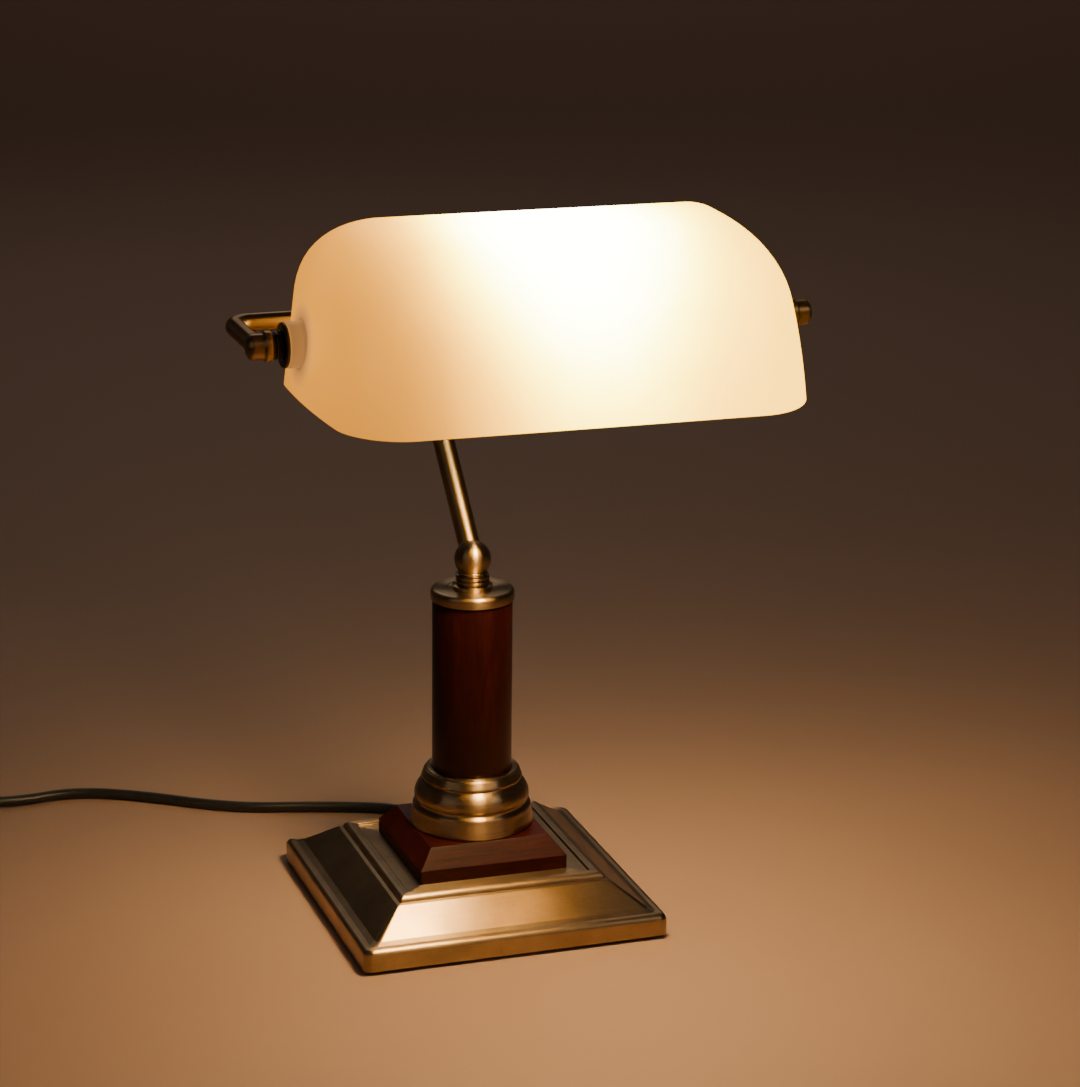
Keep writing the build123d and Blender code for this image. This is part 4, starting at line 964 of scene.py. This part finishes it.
def coil_points(per_turn=16):
    """Flat coil of two layers, in metres: inwards on the table, up one layer, and outwards again."""
    pull, half_steps = 1 / math.cos(math.pi / per_turn), per_turn // 2
    low_z, high_z, half_pitch, outer_radius = 0.003, 0.0096, 0.0033, 0.04765
    inward, climbing, outward = 5, 1, 4
    inner_radius = outer_radius - half_pitch * inward
    lower, upper = Vector((-0.30865, 0.132)), Vector((-0.30535, 0.132))
    points = []
    for step in range(1, (inward + climbing) * half_steps + 1):
        half_turns = step / half_steps
        climb = min(max(half_turns - inward, 0), 1)
        radius, angle = (outer_radius - half_pitch * half_turns) * pull, math.pi * (1 + half_turns)
        centre = lower.lerp(upper, climb)
        ease = climb * climb * (3 - 2 * climb)
        points.append((centre.x + radius * math.cos(angle), centre.y + radius * math.sin(angle),
                       low_z + (high_z - low_z) * ease))
    for step in range(1, outward * half_steps + 1):
        half_turns = step / half_steps
        radius, angle = (inner_radius + half_pitch * half_turns) * pull, math.pi * (1 + half_turns)
        points.append((upper.x + radius * math.cos(angle), upper.y + radius * math.sin(angle), high_z))
    return points


def cord_fittings(sleeve=10.0):
    """Halves of the inline switch, rocker, plug and sleeved pins, in the shapes of their solids."""
    for node, name, body in (("switch_base", "switch_tray", "base"), ("switch_cover", "switch_lid", "base"),
                             ("switch_rocker", "rocker", "rocker"), ("plug_body", "plug", "base")):
        piece(name, solid_copy(node), black_plastic, body, [node], sharp=30)
    metal = sleeved_pins(span("plug_pins")[1].y - sleeve)
    piece("pins", solid_copy("plug_pins"), metal, "base", ["plug_pins"], sharp=30)


cord_fittings()
lead = cord_curve("mains_lead", lead_route)
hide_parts("cord_lead")
stored = cord_curve("mains_tail", tail_route + coil_points() + end_route)
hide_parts("cord_tail", "cord_coil", "cord_end")


# Solids that keep their shape

kept = {
    "base_pad": felt, "bottom_plate": zinc_steel, "base_screws": zinc_steel, "ballast": cast_iron,
    "rod_nut": zinc_steel, "rod_washer": zinc_steel, "tie_rod": zinc_steel,
}
for node, surface in kept.items():
    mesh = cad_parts[node].data
    mesh.materials.clear()
    mesh.materials.append(surface)


# Floor, light and camera

def floor(half=12.0):
    """Plain warm floor, its half width in metres."""
    surface = new_surface("pale floor", Base_Color=(0.375, 0.250, 0.198, 1.0), Roughness=0.6)[0]
    bm = bmesh.new()
    bmesh.ops.create_grid(bm, x_segments=1, y_segments=1, size=half)
    mesh = bpy.data.meshes.new("floor")
    bm.to_mesh(mesh)
    bm.free()
    mesh.materials.append(surface)
    made = bpy.data.objects.new("floor", mesh)
    bpy.context.scene.collection.objects.link(made)


def soft_light(name, place, target, size, power, colour):
    """A large square lamp that looks at a point, placed in metres."""
    data = bpy.data.lights.new(name, "AREA")
    data.shape, data.size, data.energy, data.color = "SQUARE", size, power, colour
    made = bpy.data.objects.new(name, data)
    made.location = place
    made.rotation_mode = "QUATERNION"
    made.rotation_quaternion = (Vector(target) - Vector(place)).to_track_quat("-Z", "Y")
    bpy.context.scene.collection.objects.link(made)


def studio():
    """Dim warm surroundings, a soft key, fill and back light, and a faint light on the floor behind."""
    world = bpy.data.worlds.new("studio")
    bpy.context.scene.world = world
    world.use_nodes = True
    air = world.node_tree.nodes["Background"].inputs
    air["Color"].default_value, air["Strength"].default_value = (0.62, 0.44, 0.36, 1.0), 0.045
    middle = (0, 0, 0.18)
    soft_light("key", (1.1, -1.5, 1.5), middle, 0.9, 3.5, (1.0, 0.84, 0.66))
    soft_light("fill", (-1.6, -0.8, 1.0), middle, 1.2, 1.2, (1.0, 0.86, 0.72))
    soft_light("back", (0.3, 1.6, 1.4), middle, 1.0, 2, (1.0, 0.86, 0.72))
    soft_light("backdrop", (1.6, 4.6, 3.0), (1.6, 4.6, 0), 3.0, 8, (1.0, 0.80, 0.66))


def camera():
    """Camera at the photograph's place and angle."""
    data = bpy.data.cameras.new("camera")
    data.sensor_width = 36.0
    data.lens = photo_focal_px * data.sensor_width / photo_height_px
    data.clip_start, data.clip_end = 0.05, 60
    made = bpy.data.objects.new("camera", data)
    turn = Matrix((camera_right, camera_up, -Vector(camera_ahead))).transposed().to_4x4()
    made.matrix_world = Matrix.Translation(camera_spot) @ turn
    bpy.context.scene.collection.objects.link(made)
    bpy.context.scene.camera = made


floor()
studio()
camera()
